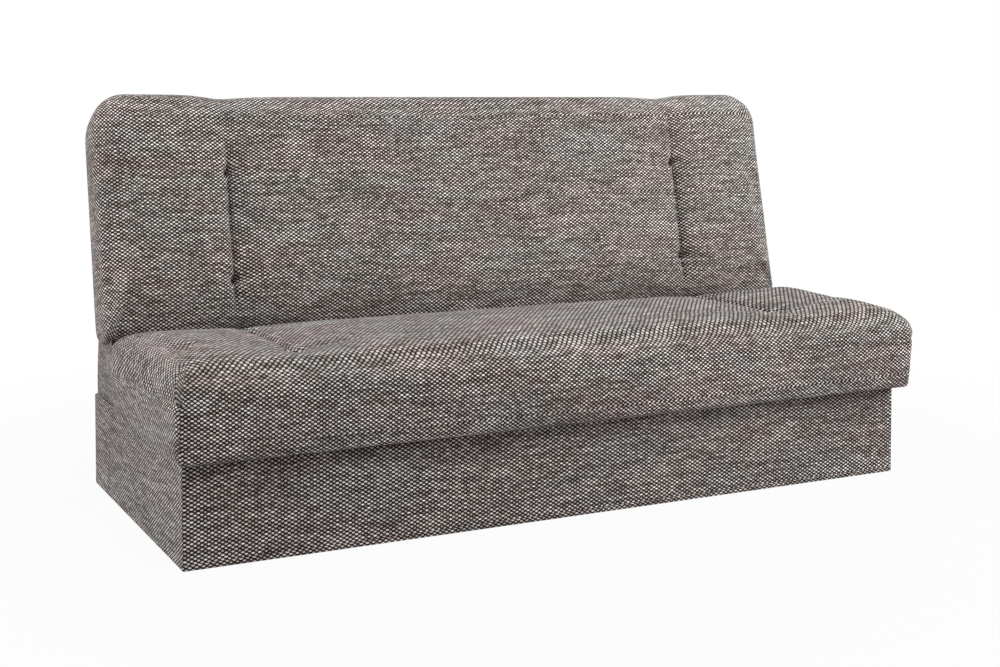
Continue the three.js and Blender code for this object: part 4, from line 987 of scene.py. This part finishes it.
def build_back(shape):
    """The back: two channels that are faint at both ends, and a top edge whose outer panels stand higher than
    the middle one, with a dip between them."""
    half_y, mid = (BACK_LENGTH - PIVOT_GAP) / 2, (BACK_LENGTH + PIVOT_GAP) / 2
    first, last = 0.135 - mid, 0.399 - mid

    def shift(x, y):
        """The top edge moves out by the wings less a bell at each channel, from the upper tufts on."""
        wing = shape.wing * smooth_step(np.abs(x), shape.channel_at - 0.026, shape.channel_at + 0.078)
        valley = 0.0055 * bell(np.abs(x) - shape.channel_at, 0.078)
        return smooth_step(y, last, half_y) * (wing - valley), 0

    def faded(y, share, reach):
        """1 up to the upper tufts, and less by share from reach past them."""
        return 1 - share * smooth_step(y, last, last + reach)

    pad = Pad(
        shape=shape, half_x=CAD_BOX[1].x, half_y=half_y, thickness=0.175,
        corners=(shape.corner, shape.top_corner), draw=shape.back_draw, spots=(first, last),
        seam=(0.034, 0.034), stretch=1.0, groove=0.0012,
        hinge=-1, face_from=0.14, ease=(1.0, 0.002), dent=0.009, pinch=0.010, wide=0.034, shift=shift,
        line=lambda y: faded(y, 0.5, 0.20),
        thread=lambda y: 0.7 * smooth_step(y, -half_y, first) * faded(y, 0.6, 0.15),
        fold=lambda y: faded(y, 0.85, 0.06) * (0.12 + 0.88 * smooth_step(y, first - 0.09, first - 0.01)),
    )
    # The back frame's room and the arms' slots are open to the rear
    room = (-FRAME_HALF, 0.0681, 0.0297), (FRAME_HALF, BACK_REAR + CUT_PAST, 0.5623)
    plates = slots(((0, -0.04), (BACK_REAR + CUT_PAST, 0.274)))
    place = BACK_PLACE @ Matrix.Translation((0, BACK_REAR, mid)) @ Matrix.Rotation(math.pi / 2, 4, "X")
    build_cushion(
        "back_upholstery", "back_cushion", pad, place, BACK_PLACE, "back", [room, *plates], (0, 0), 23
    )


def fabric_piece(mesh, body, node):
    """Shows a mesh in the fabric, in the place of a node."""
    piece = show(mesh.name, mesh, [FINISHES["melange_fabric"]], body)
    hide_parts(node)
    return piece


def build_rear_panel():
    """The board that closes the back, wrapped in fabric: its outer face is a grid that swells by 1.6 mm
    (1 - u6)(1 - v6), and at its edges it falls by 1.8 mm of the larger of u60 and v20."""
    half_x, front, low, high = 0.8941, 0.1412, 0.030, 0.562
    u, v = np.meshgrid(np.linspace(-1, 1, 97), np.linspace(-1, 1, 29), indexing="ij")
    x, z = u * half_x, (low + high) / 2 + v * (high - low) / 2
    swell = 0.0016 * (1 - u**6) * (1 - v**6) - 0.0018 * np.maximum(np.abs(u) ** 60, np.abs(v) ** 20)
    outer, inner = np.stack([x, BACK_REAR + swell, z], 2), np.stack([x, front + 0 * x, z], 2)
    mesh = layered("back_panel_cover", outer, inner, outer[..., [0, 2]])
    mesh.transform(BACK_PLACE)
    fabric_piece(mesh, "back", "back_rear_panel")


# Chest and hinges


def build_chest_cover():
    """The fabric round the chest: one sheet that climbs the boards, turns a 3.5 mm edge and lies 18 mm in
    over their tops. Its hem starts a little inwards just above the floor. It stands off by two slow waves
    times sin(pi t)."""
    x, front, rear = CHEST_HIGH.x, CHEST_LOW.y, CHEST_HIGH.y
    foot, top = CHEST_LOW.z, CHEST_HIGH.z
    edge, thickness, wide_stitch = 0.0035, 0.0024, 0.9
    at, facing = rounded_path([(-x, front), (x, front), (x, rear), (-x, rear)], 0.005, 0.02, True)
    turn = np.linspace(0, math.pi / 2, 5)[1:]
    climb = np.linspace(foot + 0.003, top - edge, 14)
    over = [-0.0075, -0.0115, -0.0155, -0.018]
    out = np.concatenate([[-0.0012, -0.0003], 0 * climb, -edge + edge * np.cos(turn), over])
    bend = top - edge + edge * np.sin(turn)
    high = np.concatenate([[foot, foot + 0.0009], climb, bend, [top - 0.0002] * 4])
    round_at = np.concatenate([[0], np.cumsum(np.linalg.norm(np.roll(at, -1, 0) - at, axis=1))])
    waves = 0.0009 * (np.sin(round_at[:-1] * 21.0) + np.sin(round_at[:-1] * 9.3 + 1.0))
    lift = np.sin(np.pi * np.clip((high - foot) / (top - foot), 0, 1)) * (out > -0.003)
    out_by = (out[:, None] + lift[:, None] * waves * 0.6)[..., None]
    outer = np.concatenate([at + facing * out_by, np.broadcast_to(high[:, None, None], out_by.shape)], 2)
    rise = np.cumsum(np.linalg.norm(np.diff(outer, axis=0), axis=2), 0)
    rise = np.concatenate([0 * rise[:1], rise])[:, np.arange(len(round_at)) % len(at)]
    flat = np.stack([np.broadcast_to(round_at * wide_stitch, rise.shape), rise], 2)
    mesh = thick_sheet("chest_fabric", outer, thickness, flat, thickness)
    piece = fabric_piece(mesh, "chest", "chest_cover")


def build_skirt(shape):
    """The flap behind the seat: a sheet on a U in plan that hangs from the back's lower end to the chest's
    rear edge. Between its foot line and its head line it sags inwards by 4.5 mm sin(pi t), with a few shallow
    folds. Its head follows the slope of the back's lower end, which rises at the sides and towards the rear
    as the back draws in."""
    front = PIVOT.y - 0.003
    foot_rear, foot_half = CHEST_HIGH.y - 0.004, CHEST_HIGH.x - 0.004
    head_rear, head_half = PIVOT.y + BACK_REAR * math.cos(RECLINE) - 0.002, SKIRT_HALF
    foot, rows = CHEST_HIGH.z + 0.0004, 15
    stops = [(-foot_half, front), (-foot_half, foot_rear), (foot_half, foot_rear), (foot_half, front)]
    at, out = rounded_path(stops, 0.014, 0.02, False)
    head_x = at[:, 0] * head_half / foot_half
    head_y = front + (at[:, 1] - front) * (head_rear - front) / (foot_rear - front)
    head = PIVOT.z + PIVOT_GAP / math.cos(RECLINE) - (head_y - PIVOT.y) * math.tan(RECLINE) - 0.002
    head += 0.008 * smooth_step(np.abs(head_x), head_half - 0.016, head_half - 0.002)
    head += 0.85 * shape.back_draw * (1 - np.clip((head_rear - head_y) / 0.125, 0, 1)) ** 2
    t = np.linspace(0, 1, rows)[:, None]
    along = np.concatenate([[0], np.cumsum(np.linalg.norm(np.diff(at, axis=0), axis=1))])
    folds = 0.0022 * np.sin(along * 17.0) + 0.0013 * np.sin(along * 41.0 + 0.7)
    inwards = np.abs(np.sin(np.pi * t) * (0.0045 + folds))[..., None]
    plan = at * (1 - t[..., None]) + np.stack([head_x, head_y], 1) * t[..., None] - out * inwards
    high = foot + (head - foot) * t

    # Travel is reversed so that outwards is on the right
    outer = np.concatenate([plan, high[..., None]], 2)[:, ::-1]
    flat = np.stack([np.broadcast_to(along[::-1], high.shape), high[:, ::-1]], 2)
    piece = fabric_piece(thick_sheet("rear_flap", outer, 0.0016, flat), "chest", "rear_skirt")
    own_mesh(piece)


def screw_points(centre, side, radius=0.0055, height=0.0021):
    """A pan-head screw against a plate whose face looks along side * X: a dome of rings, with a cross recess
    pressed into its middle ones."""
    turn = np.linspace(0, 2 * math.pi, 24, endpoint=False)
    share = np.array([1.0, 0.97, 0.86, 0.62, 0.40, 0.20])[:, None] * radius
    lift = np.array([0.0, 0.45, 0.80, 1.0, 1.04, 1.05])[:, None] * height
    cross = np.maximum(bell(np.sin(turn), 0.35), bell(np.cos(turn), 0.35))
    press = np.array([0, 0, 0, 0, 0.0011, 0.0015])[:, None] * cross
    ring = np.stack([side * (lift - press), share * np.cos(turn), share * np.sin(turn) * side], 2)
    a = np.arange(ring.shape[0] * ring.shape[1]).reshape(ring.shape[:2])
    b = np.roll(a, -1, 1)
    quads = np.stack([a[:-1], b[:-1], b[1:], a[1:]], 2).reshape(-1, 4)
    return ring.reshape(-1, 3) + np.asarray(centre), quads, [a[-1], a[0][::-1]]


def build_screws(name, body, from_middle, inwards, holes, place=None):
    """The screws of one kind of plate as one piece: at each side, one in every hole (y, z)."""
    points, quads, loops, base = [], [], [], 0
    for s in SIDES:
        for hole in holes:
            p, q, caps = screw_points((s * from_middle, *hole), -s if inwards else s)
            points.append(p)
            quads.append(q + base)
            loops += [c + base for c in caps]
            base += len(p)
    mesh = mesh_from_faces(name, np.concatenate(points), np.concatenate(quads), loops)
    if place is not None:
        mesh.transform(place)
    show(name, mesh, [FINISHES["zinc_steel"]], body)


def build_fixings():
    """Pan-head screws in every fixing hole of the hinge plates. Those of the brackets stand on the inner
    face, those of the arms on the outer one."""
    foot, wide, low, shoulder = PIVOT.y + 0.024, 0.092, CHEST_HIGH.z - 0.118, CHEST_HIGH.z - 0.003
    inset = wide / 6
    across = foot + inset, foot + wide - inset
    on_bracket = [(y, z) for z in (low + inset, shoulder - 2 * inset) for y in across]
    on_seat = [(PIVOT.y - away, 0.2683) for away in (0.100, 0.245)]
    build_screws("bracket_screws", "chest", 0.9044, True, on_bracket)
    build_screws("seat_arm_screws", "seat", 0.9034, False, on_seat)
    build_screws("back_arm_screws", "back", 0.8984, False, [(0.1067, 0.072), (0.1067, 0.250)], BACK_PLACE)


# Stage


def seen_directly(w):
    """1 where the camera looks, also in a mirror or through glass, and 0 for all other light."""
    ray = w.add("ShaderNodeLightPath").outputs
    return w.math("MAXIMUM", ray["Is Camera Ray"], ray["Is Glossy Ray"], ray["Is Transmission Ray"])


def place_in_scene(name, data, location, rotation):
    """A lamp or a camera at its place."""
    holder = bpy.data.objects.new(name, data)
    holder.location, holder.rotation_euler = location, rotation
    bpy.context.scene.collection.objects.link(holder)
    return holder


def build_stage(studio):
    """Pale floor, white surroundings that light evenly, three broad lamps and the photograph's camera. The
    floor glows where it is seen, wholly from 2.4 m off, and less near the object, so that its shadow
    shows."""
    size = 30.0
    points = np.array([(-size, -size, 0), (size, -size, 0), (size, size, 0), (-size, size, 0)], float)
    material = bpy.data.materials.new("studio_floor")
    w = emptied(material)
    white = (1, 1, 1, 1)
    pale = w.fed("ShaderNodeBsdfDiffuse", {"Color": (0.4, 0.4, 0.4, 1)})
    glow = w.fed("ShaderNodeEmission", {"Color": white})
    spot = w.add("ShaderNodeTexCoord").outputs["Object"]
    far = w.fed("ShaderNodeVectorMath", {0: spot}, operation="LENGTH")
    share = w.times(seen_directly(w), w.spread(far.outputs["Value"], 1.1, 2.4, 0.95, 1.0))
    both = w.fed("ShaderNodeMixShader", {0: share, 1: pale.outputs[0], 2: glow.outputs[0]})
    w.fed("ShaderNodeOutputMaterial", {0: both.outputs[0]})
    show("studio_ground", mesh_from_faces("studio_ground", points, [[0, 1, 2, 3]]), [material])

    world = bpy.context.scene.world = bpy.data.worlds.new("studio")
    w = emptied(world)
    light = {"Color": white, "Strength": w.ramp(seen_directly(w), studio.room, 1.0)}
    w.fed("ShaderNodeOutputWorld", {0: w.fed("ShaderNodeBackground", light).outputs[0]})

    aim = Vector((0, 0, 0.4))
    for name, place, width, power in (
        ("lamp_above", (0.2, -1.2, 4.2), 3.0, studio.key),
        ("lamp_left", (-3.8, 0.2, 2.2), 2.4, studio.side),
        ("lamp_right", (3.2, -2.6, 2.4), 2.2, studio.right),
    ):
        lamp = bpy.data.lights.new(name, "AREA")
        lamp.shape, lamp.size = "DISK", width
        # This power gives a face that looks at the lamp the light of a white surface times the setting
        lamp.energy = power * (math.pi * (Vector(place) - aim).length) ** 2
        place_in_scene(name, lamp, place, (aim - Vector(place)).to_track_quat("-Z", "Y").to_euler())

    camera = bpy.data.cameras.new("photo_view")
    camera.lens, camera.sensor_width, camera.shift_y = studio.lens, 36.0, -0.17
    camera.clip_start, camera.clip_end = 0.05, 100
    turn = [math.radians(degrees) for degrees in (87.490, -0.014, -27.000)]
    bpy.context.scene.camera = place_in_scene("photo_view", camera, (-1.7449, -3.3969, 0.9672), turn)
    bpy.context.scene.view_settings.view_transform = "Standard"


# The first row that a node's name fits gives its finish, and None leaves it as it is
FRAME_FINISHES = (
    ("pine_upright", ("back_left_rail", "back_right_rail", "back_cross_rail", "corner_block")),
    ("pine_lengthways", ("seat_left_rail", "seat_right_rail", "seat_cross_rail")),
    ("pine_across", ("_rail",)),
    ("black_plastic", ("glide",)),
    ("hardboard", ("deck", "panel")),
    ("chipboard", ("board", "divider")),
    (None, ("cushion", "cover", "skirt")),
    ("zinc_steel", ("",)),
)


def finish_frame():
    """Gives every CAD node that stays its own finish."""
    for name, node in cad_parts.items():
        finish = next(finish for finish, words in FRAME_FINISHES if any(word in name for word in words))
        if finish:
            node.data.materials.clear()
            node.data.materials.append(FINISHES[finish])


# Operators and panel


class SOFA_OT_finishes(bpy.types.Operator):
    """Makes the fabric, timber, board, steel and plastic"""

    bl_idname = "sofa.finishes"
    bl_label = "Finishes"

    def execute(self, context):
        make_finishes(context.scene.sofa_finish)
        finish_frame()
        return {"FINISHED"}


class SOFA_OT_seat(bpy.types.Operator):
    """Builds the seat cushion"""

    bl_idname = "sofa.seat"
    bl_label = "Seat"

    def execute(self, context):
        build_seat(context.scene.sofa_shape)
        return {"FINISHED"}


class SOFA_OT_back(bpy.types.Operator):
    """Builds the back cushion"""

    bl_idname = "sofa.back"
    bl_label = "Back"

    def execute(self, context):
        build_back(context.scene.sofa_shape)
        return {"FINISHED"}


class SOFA_OT_back_panel(bpy.types.Operator):
    """Builds the panel that closes the back"""

    bl_idname = "sofa.back_panel"
    bl_label = "Back panel"

    def execute(self, context):
        build_rear_panel()
        return {"FINISHED"}


class SOFA_OT_chest_fabric(bpy.types.Operator):
    """Builds the fabric round the chest"""

    bl_idname = "sofa.chest_fabric"
    bl_label = "Chest fabric"

    def execute(self, context):
        build_chest_cover()
        return {"FINISHED"}


class SOFA_OT_rear_flap(bpy.types.Operator):
    """Builds the flap behind the seat"""

    bl_idname = "sofa.rear_flap"
    bl_label = "Rear flap"

    def execute(self, context):
        build_skirt(context.scene.sofa_shape)
        return {"FINISHED"}


class SOFA_OT_fixings(bpy.types.Operator):
    """Builds the hinge screws"""

    bl_idname = "sofa.fixings"
    bl_label = "Fixings"

    def execute(self, context):
        build_fixings()
        return {"FINISHED"}


class SOFA_OT_studio(bpy.types.Operator):
    """Builds the floor, lamps and camera"""

    bl_idname = "sofa.studio"
    bl_label = "Studio"

    def execute(self, context):
        build_stage(context.scene.sofa_studio)
        return {"FINISHED"}


OPERATORS = (
    SOFA_OT_finishes, SOFA_OT_seat, SOFA_OT_back, SOFA_OT_back_panel, SOFA_OT_chest_fabric, SOFA_OT_rear_flap,
    SOFA_OT_fixings, SOFA_OT_studio,
)
SETTINGS = {"sofa_shape": SofaShape, "sofa_finish": SofaFinish, "sofa_studio": SofaStudio}


class SOFA_PT_sidebar(bpy.types.Panel):
    """Sizes, colours and builders of the sofa bed"""

    bl_idname = "SOFA_PT_sidebar"
    bl_label = "Sofa bed"
    bl_space_type = "VIEW_3D"
    bl_region_type = "UI"
    bl_category = "Sofa bed"

    def draw(self, context):
        for name in SETTINGS:
            settings = getattr(context.scene, name)
            box = self.layout.box()
            for key in settings.bl_rna.properties.keys():
                if key not in ("rna_type", "name"):
                    box.prop(settings, key)
        for operator in OPERATORS:
            self.layout.operator(operator.bl_idname)


CLASSES = (*SETTINGS.values(), *OPERATORS, SOFA_PT_sidebar)


def register():
    """Registers the classes and puts the settings on the scene."""
    for item in CLASSES:
        bpy.utils.register_class(item)
    for name, group in SETTINGS.items():
        setattr(bpy.types.Scene, name, PointerProperty(type=group))


def unregister():
    """Takes all of that out again."""
    for name in SETTINGS:
        delattr(bpy.types.Scene, name)
    for item in reversed(CLASSES):
        bpy.utils.unregister_class(item)


def main():
    """Runs every operator in order."""
    register()
    for operator in OPERATORS:
        getattr(bpy.ops.sofa, operator.bl_idname.split(".")[1])()


if __name__ == "__main__":
    main()
